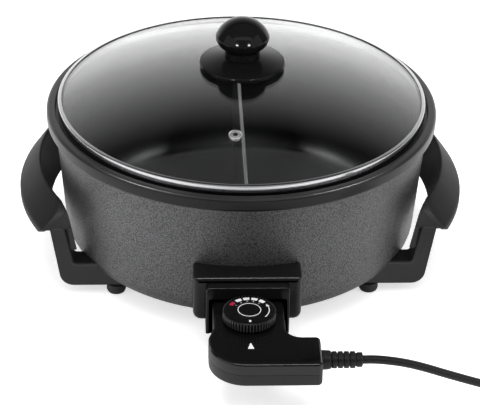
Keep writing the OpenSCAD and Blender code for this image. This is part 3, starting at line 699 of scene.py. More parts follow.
class ControlLook(bpy.types.PropertyGroup):
    """Looks of the plug-in control and its dial."""

    colour: bpy.props.FloatVectorProperty(
        name="Top",
        description="Colour of the glossy top cover and dial",
        default=(0.003, 0.003, 0.0033),
        **COLOUR,
    )
    side_colour: bpy.props.FloatVectorProperty(
        name="Side", description="Colour of the lower cover", default=(0.02, 0.02, 0.021), **COLOUR
    )
    top_round: bpy.props.FloatProperty(
        name="Top rounding",
        description="Rounding of the top cover's edge, in millimetres",
        default=2.6,
        min=0.5,
        max=3.0,
    )
    ridges: bpy.props.IntProperty(
        name="Dial ridges", description="Number of grip ridges round the dial", default=52, min=24, max=60
    )


class CordLook(bpy.types.PropertyGroup):
    """Looks of the cord and plug."""

    colour: bpy.props.FloatVectorProperty(
        name="Cord", description="Colour of the cord's rubber", default=(0.012, 0.012, 0.013), **COLOUR
    )
    ribs: bpy.props.IntProperty(
        name="Strain relief ribs", description="Number of ribs on the strain relief", default=4, min=2, max=8
    )


class StageLook(bpy.types.PropertyGroup):
    """Floor, lights and camera."""

    floor: bpy.props.FloatVectorProperty(
        name="Floor", description="Colour of the floor", default=(0.9, 0.9, 0.9), **COLOUR
    )
    room: bpy.props.FloatProperty(
        name="Room light", description="Strength of the room's even light", default=0.22, min=0.0, max=4.0
    )
    floor_glow: bpy.props.FloatProperty(
        name="Floor glow",
        description="How far the white floor is lit from below, as a light table is",
        default=0.7,
        min=0.0,
        max=2.0,
    )
    patch_width: bpy.props.FloatProperty(
        name="Dark strip",
        description="Half width of the floor's darker strip in front of the skillet",
        unit="LENGTH",
        default=0.3,
        min=0.01,
        max=2.0,
    )
    top_power: bpy.props.FloatProperty(
        name="Top box", description="Power of the soft box overhead", default=70.0, **POWER
    )
    strip_power: bpy.props.FloatProperty(
        name="Front strip", description="Power of the strip light over the front", default=5.0, **POWER
    )
    side_power: bpy.props.FloatProperty(
        name="Side boxes",
        description="Power of each of the two soft boxes beside the skillet",
        default=5.0,
        **POWER,
    )
    inside_power: bpy.props.FloatProperty(
        name="Inside boxes",
        description="Power of each of the two boxes that light the pan's inside",
        default=24.0,
        **POWER,
    )
    knob_power: bpy.props.FloatProperty(
        name="Knob boxes",
        description="Power of each of the two small boxes that shine on the knob",
        default=16.0,
        **POWER,
    )
    leg_power: bpy.props.FloatProperty(
        name="Leg boxes",
        description="Power of each of the two low boxes that light the handles from the front",
        default=40.0,
        **POWER,
    )
    control_power: bpy.props.FloatProperty(
        name="Control strip",
        description="Power of the narrow strip that draws the control's and hood's edges",
        default=12.0,
        **POWER,
    )
    glow: bpy.props.FloatProperty(
        name="Backdrop glow",
        description="Strength of the screen that the glass mirrors",
        default=1.65,
        min=0.0,
        max=10.0,
    )
    fade_height: bpy.props.FloatProperty(
        name="Backdrop height",
        description="Height at which the screen has faded to black",
        unit="LENGTH",
        default=2.6,
        min=0.2,
        max=3.2,
    )
    distance: bpy.props.FloatProperty(
        name="Camera distance",
        description="Distance of the camera from the rim",
        unit="LENGTH",
        default=1.8,
        min=0.5,
        max=10.0,
    )
    elevation: bpy.props.FloatProperty(
        name="Camera elevation",
        description="How far the camera looks down",
        subtype="ANGLE",
        default=math.radians(30.6),
    )
    orbit: bpy.props.FloatProperty(
        name="Camera orbit",
        description="Turn of the camera round the pan, to the left",
        subtype="ANGLE",
        default=math.radians(2.51),
    )
    roll: bpy.props.FloatProperty(
        name="Camera roll", description="Roll of the camera", subtype="ANGLE", default=math.radians(0.99)
    )


# Stage, whose places and sizes are in metres


def area_light(name, place, target, size, power):
    """A soft box that faces a target."""
    data = bpy.data.lights.new(name, "AREA")
    data.shape = "RECTANGLE"
    data.size = size[0]
    data.size_y = size[1]
    data.energy = power
    light = bpy.data.objects.new(name, data)
    bpy.context.scene.collection.objects.link(light)
    light.location = place
    light.visible_camera = False
    light.rotation_euler = (Vector(target) - Vector(place)).to_track_quat("-Z", "Y").to_euler()
    return light


def light_only(label, pieces, place, target, size, power):
    """Soft boxes whose light only some pieces catch: one on the middle, or a mirrored pair beside it."""
    lit = bpy.data.collections.new("lit_" + label)
    for name in pieces:
        lit.objects.link(bpy.data.objects[name])
    x, y, z = place
    for number, side in enumerate((-1, 1) if x else (1,)):
        light = area_light(f"{label}_box_{number}", (side * x, y, z), target, size, power)
        light.light_linking.receiver_collection = lit
        light.light_linking.blocker_collection = lit


def aim_camera(look):
    """Camera at the photograph's angle; the rim's middle falls on a pixel of the 480 by 405 frame."""
    frame_size = Vector((480.0, 405.0))
    rim_pixel = Vector((239.8, 106.5))
    focal_pixels = 2056.0
    sensor = 36.0
    tilt = look.elevation
    ahead = Vector((0, math.cos(tilt), -math.sin(tilt)))
    right = Vector((1, 0, 0))
    up = Vector((0, math.sin(tilt), math.cos(tilt)))
    offset = rim_pixel - frame_size / 2
    back = look.distance / focal_pixels
    spot = -ahead * look.distance - right * (offset.x * back) + up * (offset.y * back)
    turn = Matrix.Rotation(-look.orbit, 3, "Z")
    rolled_right = right * math.cos(look.roll) + up * math.sin(look.roll)
    rolled_up = up * math.cos(look.roll) - right * math.sin(look.roll)
    axes = Matrix((turn @ rolled_right, turn @ rolled_up, turn @ -ahead)).transposed()
    data = bpy.data.cameras.new("camera")
    data.sensor_fit = "HORIZONTAL"
    data.sensor_width = sensor
    data.lens = focal_pixels * sensor / frame_size.x
    data.clip_end = 50.0
    camera = bpy.data.objects.new("camera", data)
    bpy.context.scene.collection.objects.link(camera)
    rim = SEAT @ Vector((0, 0, LEDGE_Z))
    camera.matrix_world = Matrix.Translation(rim + turn @ spot) @ axes.to_4x4()
    bpy.context.scene.camera = camera


class SKILLET_OT_stage(bpy.types.Operator):
    """Floor, soft boxes and the camera."""

    bl_idname = "skillet.stage"
    bl_label = "Stage"

    def execute(self, context):
        look = context.scene.skillet_stage
        aim_camera(look)
        self.floor(look)
        self.backdrop(look)
        self.lights(look)
        self.room(context.scene, look)
        context.scene.view_settings.view_transform = "Standard"
        return {"FINISHED"}

    def floor(self, look):
        """White floor that glows; a darker strip in front mirrors in the pan's wall, unseen by the camera."""
        size = 30.0
        depth = 0.02
        corners = [(-size, -size), (size, -size), (size, size), (-size, size)]
        floor = bare_object("floor", stacked(corners, [(-depth, 0), (0, 0)], upward))
        finish = Finish("studio_floor", roughness=0.6, specular=0.2)
        tone = tuple(look.floor)
        paint = finish.ramp(finish.mottle(1.5, 40.0, 0.2)["Mask"], scaled(tone, 0.99), tone)
        side = finish.math("ABSOLUTE", finish.axis("X"))
        fade = finish.spread(side, 0.0, 1.0, 0.0, look.patch_width, interpolation_type="SMOOTHSTEP")
        seen = finish.node("ShaderNodeLightPath").outputs["Is Camera Ray"]
        strength = finish.math("MULTIPLY", finish.math("MAXIMUM", fade, seen), look.floor_glow)
        finish.shade({"Base Color": paint, "Emission Color": paint, "Emission Strength": strength})
        floor.data.materials.append(finish.material)
        # The floor mirrors in the enamel without lifting the shade under the pan.
        floor.visible_diffuse = False

    def lights(self, look):
        """Boxes at the sides and overhead, and a strip that draws bright lines along rounded edges."""
        centre = SEAT @ Vector((0, 0, 90))
        for side, name in ((-1, "left_box"), (1, "right_box")):
            area_light(name, (side * 1.15, -0.56, 0.65), centre, (1.2, 1.1), look.side_power)
        overhead = area_light("top_box", (0, 0.2, 2.6), centre, (2.6, 2.6), look.top_power)
        overhead.visible_glossy = False
        overhead.visible_transmission = False
        area_light("front_strip", (0, -0.95, 1.5), centre, (2.2, 0.4), look.strip_power)

    def room(self, scene, look):
        """Even white light, at full strength where the camera looks past the floor."""
        scene.world = bpy.data.worlds.new("studio")
        scene.world.use_nodes = True
        tree = scene.world.node_tree
        seen = add_node(tree, "ShaderNodeLightPath").outputs["Is Camera Ray"]
        bright = add_node(tree, "ShaderNodeMapRange", {"Value": seen, "To Min": look.room, "To Max": 1.0})
        sky = {"Color": (1.0, 1.0, 1.0, 1.0), "Strength": bright.outputs["Result"]}
        feed(tree, tree.nodes["Background"], sky)

    def backdrop(self, look):
        """A screen behind the skillet, lit from below, which the glass mirrors and the camera doesn't see."""
        wide = 2.4
        away = 1.6
        low = -0.6
        high = 3.2
        shape = bmesh.new()
        corners = [(-wide, away, low), (wide, away, low), (wide, away, high), (-wide, away, high)]
        shape.faces.new([shape.verts.new(corner) for corner in corners])
        screen = bare_object("backdrop", shape)
        finish = Finish("backdrop_glow", roughness=0.9, specular=0.0)
        fade = finish.spread(finish.axis("Z"), 1.0, 0.0, 0.0, look.fade_height)
        even = finish.math("MULTIPLY", finish.math("POWER", fade, 1.6), 1.4, use_clamp=True)
        black = (0.0, 0.0, 0.0)
        glow = finish.ramp(even, black, (1.0, 1.0, 1.0), 0.0, 1.0)
        finish.shade({"Base Color": (*black, 1.0), "Emission Color": glow, "Emission Strength": look.glow})
        screen.data.materials.append(finish.material)
        screen.visible_camera = False
        screen.visible_diffuse = False
        screen.visible_shadow = False


class SKILLET_OT_edge_lights(bpy.types.Operator):
    """Boxes for single pieces: glows inside the pan, and bright lines on the knob, handles and control."""

    bl_idname = "skillet.edge_lights"
    bl_label = "Edge lights"

    def execute(self, context):
        look = context.scene.skillet_stage
        floor = SEAT @ Vector((0, 0, 20))
        knob = SEAT @ Vector((0, 0, KNOB_TOP))
        dial = SEAT @ Vector((0, DIAL_Y, DIAL_HIGH))
        coated = ["pan_shell", "divider_wall"]
        knobs = ["knob_head", "knob_plate"]
        handles = ["grip_left", "grip_right"]
        controls = ["control_lid", "dial_grip", "socket_hood"]
        light_only("inside", coated, (0.85, -0.1, 1.35), floor, (0.3, 0.25), look.inside_power)
        light_only("knob", knobs, (0.55, -1.1, 0.8), knob, (0.22, 0.16), look.knob_power)
        light_only("legs", handles, (0.5, -1.5, 0.1), floor, (0.6, 0.4), look.leg_power)
        light_only("control", controls, (0, -0.9, 1.3), dial, (1.4, 0.08), look.control_power)
        return {"FINISHED"}


# Repeats by Geometry Nodes


def run_tree(tree, values, instances, material):
    """Ends a tree in Realize Instances and Set Material, and returns the plain mesh that it makes."""
    realize = add_node(tree, "GeometryNodeRealizeInstances", {"Geometry": instances})
    coat = {"Geometry": realize.outputs["Geometry"], "Material": material}
    paint = add_node(tree, "GeometryNodeSetMaterial", coat)
    add_node(tree, "NodeGroupOutput", {"Geometry": paint.outputs["Geometry"]})
    holder = bare_object(tree.name, bmesh.new())
    modifier = holder.modifiers.new(tree.name, "NODES")
    modifier.node_group = tree
    for item in tree.interface.items_tree:
        if item.in_out == "INPUT":
            modifier[item.identifier] = values[item.name]
    mesh = settled_mesh(holder)
    bpy.data.objects.remove(values["Unit"])
    return mesh


def copies_on(tree, points, unit, feeds=None):
    """Instances of an object on points."""
    info = add_node(tree, "GeometryNodeObjectInfo", {"Object": unit})
    placed = {"Points": points, "Instance": info.outputs["Geometry"], **(feeds or {})}
    return add_node(tree, "GeometryNodeInstanceOnPoints", placed).outputs["Instances"]


def repeated_on_line(name, unit, start, end, count, material):
    """Copies of a unit object spaced evenly between two points."""
    tree, source = new_tree(
        name,
        "GeometryNodeTree",
        {"Unit": "Object", "Count": "Int", "Start": "Vector", "End": "Vector"},
        {"Geometry": "Geometry"},
    )
    spots = {"Count": source["Count"], "Start Location": source["Start"], "Offset": source["End"]}
    line = add_node(tree, "GeometryNodeMeshLine", spots, mode="END_POINTS")
    copies = copies_on(tree, line.outputs["Mesh"], source["Unit"])
    return run_tree(tree, {"Unit": unit, "Count": count, "Start": start, "End": end}, copies, material)


def repeated_round(name, unit, centre, radius, count, material):
    """Copies of a unit object all round an upright axis; the unit's own X points outwards."""
    tree, source = new_tree(
        name,
        "GeometryNodeTree",
        {"Unit": "Object", "Count": "Int", "Centre": "Vector", "Radius": "Float", "Step Angle": "Float"},
        {"Geometry": "Geometry"},
    )

    def result(kind, feeds, operation):
        return add_node(tree, kind, feeds, operation=operation).outputs[0]

    points = add_node(tree, "GeometryNodeMeshLine", {"Count": source["Count"]})
    index = add_node(tree, "GeometryNodeInputIndex").outputs[0]
    angle = result("ShaderNodeMath", {0: index, 1: source["Step Angle"]}, "MULTIPLY")
    cosine = result("ShaderNodeMath", {0: angle}, "COSINE")
    sine = result("ShaderNodeMath", {0: angle}, "SINE")
    ray = add_node(tree, "ShaderNodeCombineXYZ", {"X": cosine, "Y": sine}).outputs[0]
    out = result("ShaderNodeVectorMath", {0: ray, "Scale": source["Radius"]}, "SCALE")
    spot = result("ShaderNodeVectorMath", {0: out, 1: source["Centre"]}, "ADD")
    ring = {"Geometry": points.outputs["Mesh"], "Position": spot}
    seat = add_node(tree, "GeometryNodeSetPosition", ring).outputs["Geometry"]
    spin = add_node(tree, "ShaderNodeCombineXYZ", {"Z": angle}).outputs[0]
    copies = copies_on(tree, seat, source["Unit"], {"Rotation": spin})
    step = 2 * math.pi / count
    values = {"Unit": unit, "Count": count, "Centre": centre, "Radius": radius, "Step Angle": step}
    return run_tree(tree, values, copies, material)


# Cord


def ease(t):
    """A smooth step from 0 to 1."""
    t = max(0.0, min(1.0, t))
    return t * t * (3 - 2 * t)


def cord_points():
    """The cord's middle line: out of the strain relief, down to the table and into the stored coil."""
    coil_z = CORD_RADIUS + 1.3
    relief_z = PARTING
    coil_x = RELIEF_END + 179
    coil_radius = 45
    pitch = 7.7
    lead = 2 * CORD_RADIUS + 1
    table_y = 12
    coil_y = -RELIEF_Y + table_y + coil_radius
    fall = [
        (0, 0, relief_z),
        (9, 0, relief_z),
        (22, 0.2, relief_z - 1.5),
        (36, 0.6, relief_z - 4.5),
        (50, 1.2, relief_z - 9),
        (64, 2, relief_z - 14.5),
        (78, 3, relief_z - 20),
        (92, 4.2, relief_z - 25.5),
        (106, 5.6, relief_z - 30.5),
        (120, 7.2, relief_z - 34.5),
        (133, 8.8, coil_z + 0.4),
        (146, 10.4, coil_z),
        (157, 11.6, coil_z),
    ]
    line = [Vector((RELIEF_END + x, y - RELIEF_Y, z)) for x, y, z in fall]
    line.append(Vector((coil_x - lead - 9, table_y - RELIEF_Y, coil_z)))
    line.append(Vector((coil_x - lead, table_y - RELIEF_Y, coil_z)))
    turns_in = 1.75
    climb = 0.5
    turns_out = 1.75
    turns = turns_in + climb + turns_out
    inner = coil_radius - pitch * (turns_in + climb)
    layer = 7.8
    plug_z = 17.6
    per_turn = 24
    for i in range(round(turns * per_turn) + 1):
        t = i / per_turn
        out = t - turns_in - climb
        radius = coil_radius - pitch * t if out < 0 else inner + pitch * (out + min(0.5, out))
        z = coil_z + layer * ease((t - turns_in) / climb)
        z += (plug_z - coil_z - layer) * ease((t - turns + 0.5) / 0.5)
        a = 2 * math.pi * t - math.pi / 2
        line.append(Vector((coil_x + radius * math.cos(a), coil_y + radius * math.sin(a), z)))
    line.append(line[-1] + Vector((lead, 0, 0)))
    return line


def lengthwise(start):
    """Turns a revolved shape so that its axis runs along X from a point."""
    return Matrix.Translation(start) @ Matrix.Rotation(math.pi / 2, 4, "Y")


class SKILLET_OT_cord(bpy.types.Operator):
    """Cord with its coil, strain relief, tie and plug."""

    bl_idname = "skillet.cord"
    bl_label = "Cord and plug"

    def execute(self, context):
        rubber = cord_rubber()
        line = cord_points()
        curve = bpy.data.curves.new("cord", "CURVE")
        curve.dimensions = "3D"
        curve.bevel_depth = CORD_RADIUS * MM
        curve.bevel_resolution = 5
        curve.use_fill_caps = True
        curve.resolution_u = 3
        spline = curve.splines.new("BEZIER")
        spline.bezier_points.add(len(line) - 1)
        for knot, spot in zip(spline.bezier_points, line):
            knot.co = SEAT @ spot
            knot.handle_left_type = "AUTO"
            knot.handle_right_type = "AUTO"
        cord = bpy.data.objects.new("cord", curve)
        context.scene.collection.objects.link(cord)
        curve.materials.append(rubber)
        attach(cord, "control")
        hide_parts("power_cord", "cord_coil")
        plug = self.plug(line[-1], rubber)
        tie = self.tie()
        self.relief(context.scene.skillet_cord.ribs, rubber)
        return {"FINISHED"}

    def plug(self, start, rubber):
        """Round moulded plug with a waisted neck and finger grooves."""
        body = 17.4
        groove = body - 1
        end = 54
        neck = [(0, 0, 0), (5, 0, 1), (5.2, 4, 0.6), (6.6, 14, 2), (7.4, 22, 3), (11, 25, 3), (15.5, 30, 5)]
        grooves = [(body, 34, 3)]
        for at in (38, 45):
            grooves += [(body, at, 0.6), (groove, at + 1, 0.5), (groove, at + 3, 0.5), (body, at + 4, 0.6)]
        profile = filleted(neck + grooves + [(body, end, 1.6), (0, end, 0)], closed=False)
        shape = turned(profile, 64, False, lengthwise(start))
        return seated_piece("plug", shape, "control", [rubber], ["plug_body"])

    def tie(self):
        """Flat strap round the coil's back."""
        low, high = reach("cord_tie")
        sheet = 0.7
        bend = 4.0
        outer = filleted(
            [(low.y, low.z, bend), (high.y, low.z, bend), (high.y, high.z, bend), (low.y, high.z, bend)]
        )
        shape = bmesh.new()
        loops = []
        for x, shrink in ((low.x, 0), (high.x, 0), (high.x, sheet), (low.x, sheet)):
            loops.append([shape.verts.new((x, y, z)) for y, z in inset(outer, shrink)])
        for first, second in zip(loops, loops[1:] + loops[:1]):
            bridged(shape, first, second)
        tidy(shape)
        strap = made("strap", moulded, "woven_strap", (0.03, 0.03, 0.032), 0.7, 0.85, 0.0001, 2200.0)
        return seated_piece("cord_strap", shape, "control", [strap], ["cord_tie"])

    def relief(self, count, rubber):
        """Tapered strain relief; its ribs are repeated along the axis."""
        collar = 7
        throat = 5.2
        tip = 6
        end = RELIEF_LENGTH
        core = filleted(
            [
                (0, -4.5, 0), (collar, -4.5, 0.5), (collar, -2.5, 0.3), (throat, -2.5, 0), (throat, 0, 0),
                (collar + 1, 0, 0.8), (collar + 0.6, 7, 1), (throat + 0.2, 8.5, 1), (throat, end - 6, 1),
                (tip, end - 4, 0.8), (tip, end - 0.6, 0.8), (throat - 1, end, 0.4), (0, end, 0),
            ],
            closed=False,
        )
        start = Vector((ARM_RIGHT, -RELIEF_Y, PARTING))
        shape = turned(core, 48, False, lengthwise(start))
        bmesh.ops.transform(shape, matrix=SEAT, verts=shape.verts)
        out = 6.9
        root = 3.3
        half = 2
        corners = [(root, -half, 0.4), (out, -half, 0.7), (out, half, 0.7), (root, half, 0.4)]
        rib = turned(filleted(corners, steps=3), 48, True, lengthwise((0, 0, 0)))
        bmesh.ops.scale(rib, vec=(MM, MM, MM), verts=rib.verts)
        first, last = (SEAT @ (start + Vector((x, 0, 0))) for x in (10.2, 24.8))
        ribs = repeated_on_line("relief_ribs", bare_object("rib", rib), first, last, count, rubber)
        shape.from_mesh(ribs)
        bpy.data.meshes.remove(ribs)
        boot = bare_object("strain_relief_boot", shape)
        dressed(boot, "control", [rubber], ["strain_relief"])


# Pan


def wall_radius(z):
    """Radius of the pan's outside at a height."""
    if z < CORNER_Z:
        return BASE_RADIUS + math.sqrt(max(0.0, CORNER**2 - (CORNER_Z - z) ** 2))
    return WALL_LOW + (WALL_HIGH - WALL_LOW) * (z - CORNER_Z) / (RIM_BOTTOM - CORNER_Z)


class SKILLET_OT_pan(bpy.types.Operator):
    """Pan with its hammered outside and coated inside, and the divider."""

    bl_idname = "skillet.pan"
    bl_label = "Pan"

    def execute(self, context):
        look = context.scene.skillet_pan
        enamel = made("enamel", hammered_enamel, look)
        coat = made("coat", release_coat, look)
        rim = made("rim", moulded, "satin_rim_coat", tuple(look.coat), 0.26, 0.36, 0.00003, 1200.0, 0.2)
        shape = turned(self.profile(look.rim_round), 192, False)
        # The coat starts where the wall meets the underside of the rim.
        seam = RIM_BOTTOM - 0.2
        for face in shape.faces:
            middle = face.calc_center_median()
            radius = math.hypot(middle.x, middle.y)
            outer = radius > wall_radius(min(middle.z, RIM_BOTTOM)) - WALL / 2 and middle.z < seam
            on_rim = middle.z > LEDGE_Z - 0.5 or (middle.z > seam and radius > WALL_HIGH - 1)
            face.material_index = 0 if outer or middle.z < BASE_Z + 0.6 else 2 if on_rim else 1
        boss = 6
        for x_side in (-1, 1):
            for y_side in (-1, 1):
                root = (x_side * BASE_RADIUS, y_side * LEG_Y, BOSS_Z)
                added(shape, rod(boss, root, (x_side * LEG_INNER, y_side * LEG_Y, BOSS_Z), 40))
        seated_piece("pan_shell", shape, "pan_body", [enamel, coat, rim], ["pan"])
        self.divider(coat)
        return {"FINISHED"}

    def profile(self, rim_round):
        """The pan cut through, from the middle of its underside round the rim to the middle of its floor."""
        bead_in = BEAD_RING - BEAD_HALF
        bead_out = BEAD_RING + BEAD_HALF
        floor = BASE_Z + WALL
        mouth = WALL_HIGH - WALL
        return filleted(
            [
                (0, BASE_Z, 0), (bead_in, BASE_Z, 0.6), (bead_in, BEAD_LOW, 0.8), (bead_out, BEAD_LOW, 0.8),
                (bead_out, BASE_Z, 0.6), (WALL_LOW, BASE_Z, CORNER), (WALL_HIGH, RIM_BOTTOM, 1.5),
                (RIM_RADIUS, RIM_BOTTOM, rim_round), (RIM_RADIUS, RIM_TOP, rim_round),
                (LEDGE_OUTER, RIM_TOP, 1.2), (LEDGE_OUTER, LEDGE_Z, 0.6), (mouth, LEDGE_Z, 1.0),
                (mouth, RIM_BOTTOM, 3.0), (WALL_LOW - WALL, floor, CORNER - WALL), (0, floor, 0),
            ],
            closed=False,
            steps=10,
        )

    def divider(self, coat):
        """Upright wall across the pan, rounded along its top and drafted towards its foot."""
        high = reach("pan_divider")[1]
        bury = 1.2
        foot = BASE_Z + WALL - bury
        side = WALL_LOW - WALL + bury
        top_side = side + WALL_LEAN * (high.z - CORNER_Z) / (RIM_BOTTOM - CORNER_Z)
        bend = CORNER - WALL
        corners = [(-side, foot, bend), (side, foot, bend), (top_side, high.z, 0), (-top_side, high.z, 0)]
        half = high.x
        edge_round = half * 0.7
        levels = rounded_levels(-half, half, edge_round, edge_round, 4)
        shape = stacked(filleted(corners, steps=10), levels, across)
        # Faces that look up take a lighter grey: a painted highlight along the divider's top.
        for face in shape.faces:
            face.material_index = 1 if face.normal.z > 0.6 else 0
        edge = made("edge", moulded, "rubbed_coat", (0.06, 0.06, 0.062), 0.3, 0.42)
        finishes = [coat, edge]
        seated_piece("divider_wall", shape, "pan_body", finishes, ["pan_divider"])


# Handles


def pan_underside(x, y, gap):
    """Height of the pan's underside at a spot, less a gap."""
    radius = math.hypot(x, y)
    if radius < BASE_RADIUS:
        return BASE_Z - gap
    if radius < WALL_LOW + gap:
        return CORNER_Z - math.sqrt((CORNER + gap) ** 2 - (radius - BASE_RADIUS) ** 2)
    return OPEN_SKY


def zipped(shape, loop):
    """Closes a long thin loop with a strip of triangles between its two sides."""
    i = 0
    j = len(loop) - 1
    while j - i > 1:
        if (loop[i + 1].co - loop[j].co).length <= (loop[j - 1].co - loop[i].co).length:
            shape.faces.new((loop[i], loop[i + 1], loop[j]))
            i += 1
        else:
            shape.faces.new((loop[i], loop[j - 1], loop[j]))
            j -= 1


def grip_section():
    """The grip cut through: a sheet that slopes out and down from the skirt's top to an upright lip."""
    bend = 65.5
    lip = 5
    inside = GRIP_OUT - lip
    return filleted(
        [
            (GRIP_ROOT, GRIP_TOP, 0.8), (GRIP_ROOT + GRIP_SHEET, GRIP_TOP, 1.6),
            (GRIP_OUT - 0.9, bend + 2.1, 3), (GRIP_OUT, bend, 1.2), (GRIP_OUT, GRIP_LOW, 1.8),
            (inside, GRIP_LOW, 1.4), (inside, bend, 3), (GRIP_ROOT, GRIP_TOP - 6, 1),
        ]
    )


def skirt_section():
    """The skirt cut through: a sheet that leans out along the pan's wall."""
    foot = 168.5
    thick = 4.5
    return filleted(
        [
            (foot, SKIRT_LOW, 1.2), (foot + thick, SKIRT_LOW, 1.2), (GRIP_ROOT + GRIP_SHEET, GRIP_TOP, 0.8),
            (GRIP_ROOT, GRIP_TOP, 0.8),
        ]
    )


def swept_shell(section, half_width, low, round_low):
    """A shell of one section swept round the pan, with its corners rounded as seen from the side."""
    section = subdivided(section, 4)
    high = GRIP_TOP + 0.5
    edge = 0.8
    steps = 4
    middle = 28

    def reach_at(z):
        wide = half_width
        for corner, depth in ((GRIP_CORNER_HIGH, high - z), (round_low, z - low)):
            if corner and depth < corner:
                wide = half_width - corner + math.sqrt(max(0.0, corner**2 - (corner - depth) ** 2))
        return wide

    turns = [math.pi / 2 * k / steps for k in range(steps + 1)]
    ends = [(edge * (1 - math.cos(a)), edge * (1 - math.sin(a))) for a in turns]
    rows = [(-1, depth, shrink) for depth, shrink in ends]
    rows += [(-1 + 2 * k / middle, 1.2 * edge, 0) for k in range(1, middle)]
    rows += [(1, depth, shrink) for depth, shrink in reversed(ends)]
    shape = bmesh.new()
    loops = []
    for share, depth, shrink in rows:
        loop = []
        for (_, level), (r, z) in zip(section, inset(section, shrink)):
            y = share * (reach_at(level) - depth)
            loop.append(shape.verts.new((math.sqrt(r * r - y * y), y, z)))
        loops.append(loop)
    for first, second in zip(loops, loops[1:]):
        bridged(shape, first, second)
    zipped(shape, loops[0])
    zipped(shape, loops[-1])
    tidy(shape)
    return shape


def end_wall(y_side):
    """A wall that closes the hollow between grip and skirt at one end, rounded below as the grip is."""
    inner = 172.8
    outer = 193
    foot = GRIP_LOW + 1.5
    shoulder = 66.2
    peak = (177, 87.8)
    outline = subdivided([(inner, foot), (outer, foot), (outer, shoulder), peak], 3)
    corner = GRIP_CORNER_LOW
    straight = GRIP_HALF - 1 - corner

    def spot(r, z, y):
        into = max(0.0, abs(y) - straight)
        lowest = GRIP_LOW + 0.5 + corner - math.sqrt(corner**2 - into**2)
        return Vector((math.sqrt(r * r - y * y), y, max(z, lowest)))

    near = GRIP_HALF - 7
    far = GRIP_HALF - 1.5
    low, high = sorted((y_side * near, y_side * far))
    return stacked(outline, rounded_levels(low, high, 1.2, 1.2), spot)


def leg_shape(y_side, leg_round):
    """One leg with its heel and the arm that reaches under the pan, with a counterbore for its screw."""
    thick = 13
    top = 67.5
    slant = 0.2
    heel = 12
    arm_end = 101
    edge = 2.6
    gap = 0.6
    thinnest = 0.8

    def inner(z):
        return LEG_INNER + slant * (z - ARM_TOP)

    back = inner(LEG_FOOT + heel) + thick
    corners = [
        (arm_end, LEG_FOOT, edge), (back, LEG_FOOT, heel), (inner(top) + thick, top, edge),
        (inner(top), top, edge), (LEG_INNER, ARM_TOP, 3), (arm_end, ARM_TOP, edge),
    ]
    middle = y_side * LEG_Y
    half = LEG_WIDTH / 2
    low = rounded_end(middle - half, 1, leg_round)
    high = rounded_end(middle + half, -1, leg_round)[::-1]
    # More sections across the arm let its top follow the pan's corner.
    parts = 6
    flat = LEG_WIDTH - 2 * leg_round
    between = [(middle - half + leg_round + flat * k / parts, 0) for k in range(1, parts)]
    shape = stacked(subdivided(filleted(corners), 2.5), low + between + high, sideways)
    for vert in shape.verts:
        x, y, z = vert.co
        ceiling = pan_underside(x, y, gap) if x < LEG_INNER - 1 else OPEN_SKY
        vert.co.z = min(z, max(LEG_FOOT + thinnest, ceiling))
    bore = rod(4.0, (LEG_INNER + 8, middle, BOSS_Z), (LEG_INNER + 40, middle, BOSS_Z))
    pocket = rod(6.3, (arm_end - 11, middle, BOSS_Z), (LEG_INNER, middle, BOSS_Z))
    return carved(shape, [bore, pocket])


class SKILLET_OT_handles(bpy.types.Operator):
    """Both handles with their legs, and the rubber feet."""

    bl_idname = "skillet.handles"
    bl_label = "Handles and feet"

    def execute(self, context):
        look = context.scene.skillet_handles
        self.handle("grip_left", "left_handle", -1, look.leg_round)
        self.handle("grip_right", "right_handle", 1, look.leg_round)
        for node in ("foot_front_left", "foot_front_right", "foot_back_left", "foot_back_right"):
            self.foot(node)
        return {"FINISHED"}

    def handle(self, name, node, x_side, leg_round):
        """Grip, skirt, end walls and two legs, drawn for the right side."""
        shells = [
            swept_shell(grip_section(), GRIP_HALF, GRIP_LOW, GRIP_CORNER_LOW),
            swept_shell(skirt_section(), SKIRT_HALF, SKIRT_LOW, 0),
        ]
        for y_side in (-1, 1):
            shells += [end_wall(y_side), leg_shape(y_side, leg_round)]
        for shell in shells:
            without_slivers(shell)
        shape = added(*shells)
        if x_side < 0:
            bmesh.ops.scale(shape, vec=(-1, 1, 1), verts=shape.verts)
            bmesh.ops.reverse_faces(shape, faces=shape.faces)
        seated_piece(name, shape, "pan_body", [charcoal()], [node], 28)

    def foot(self, node):
        """Rubber pad with a hollow under it and a stem."""
        low, high = reach(node)
        radius = (high.x - low.x) / 2
        hollow = 0.4
        stem = 4
        profile = filleted(
            [
                (0, hollow, 0), (radius * 0.45, hollow, 0.3), (radius * 0.5, 0, 0.3), (radius * 0.86, 0, 1.6),
                (radius, 3, 2), (radius * 0.94, LEG_FOOT, 0.6), (stem, LEG_FOOT, 0), (stem, high.z, 0.4),
                (0, high.z, 0),
            ],
            closed=False,
        )
        place = Matrix.Translation(((low.x + high.x) / 2, (low.y + high.y) / 2, 0))
        shape = turned(profile, 48, False, place)
        seated_piece(node + "_pad", shape, "pan_body", [black_rubber()], [node])


# Lid


def dome_height(radius, lift=0.0):
    """Height of the dome's outer face, or of a face that lies over it by a lift."""
    return DOME_Z + math.sqrt((DOME_RADIUS + lift) ** 2 - radius**2)


def vent_place():
    """Where the vent stands, upright on the leaning glass."""
    lean = math.asin(VENT_RADIUS / DOME_RADIUS)
    turn = Matrix.Rotation(VENT_TURN, 4, "Z") @ Matrix.Rotation(lean, 4, "X")
    return Matrix.Translation((0, 0, DOME_Z)) @ turn @ Matrix.Translation((0, 0, DOME_RADIUS))


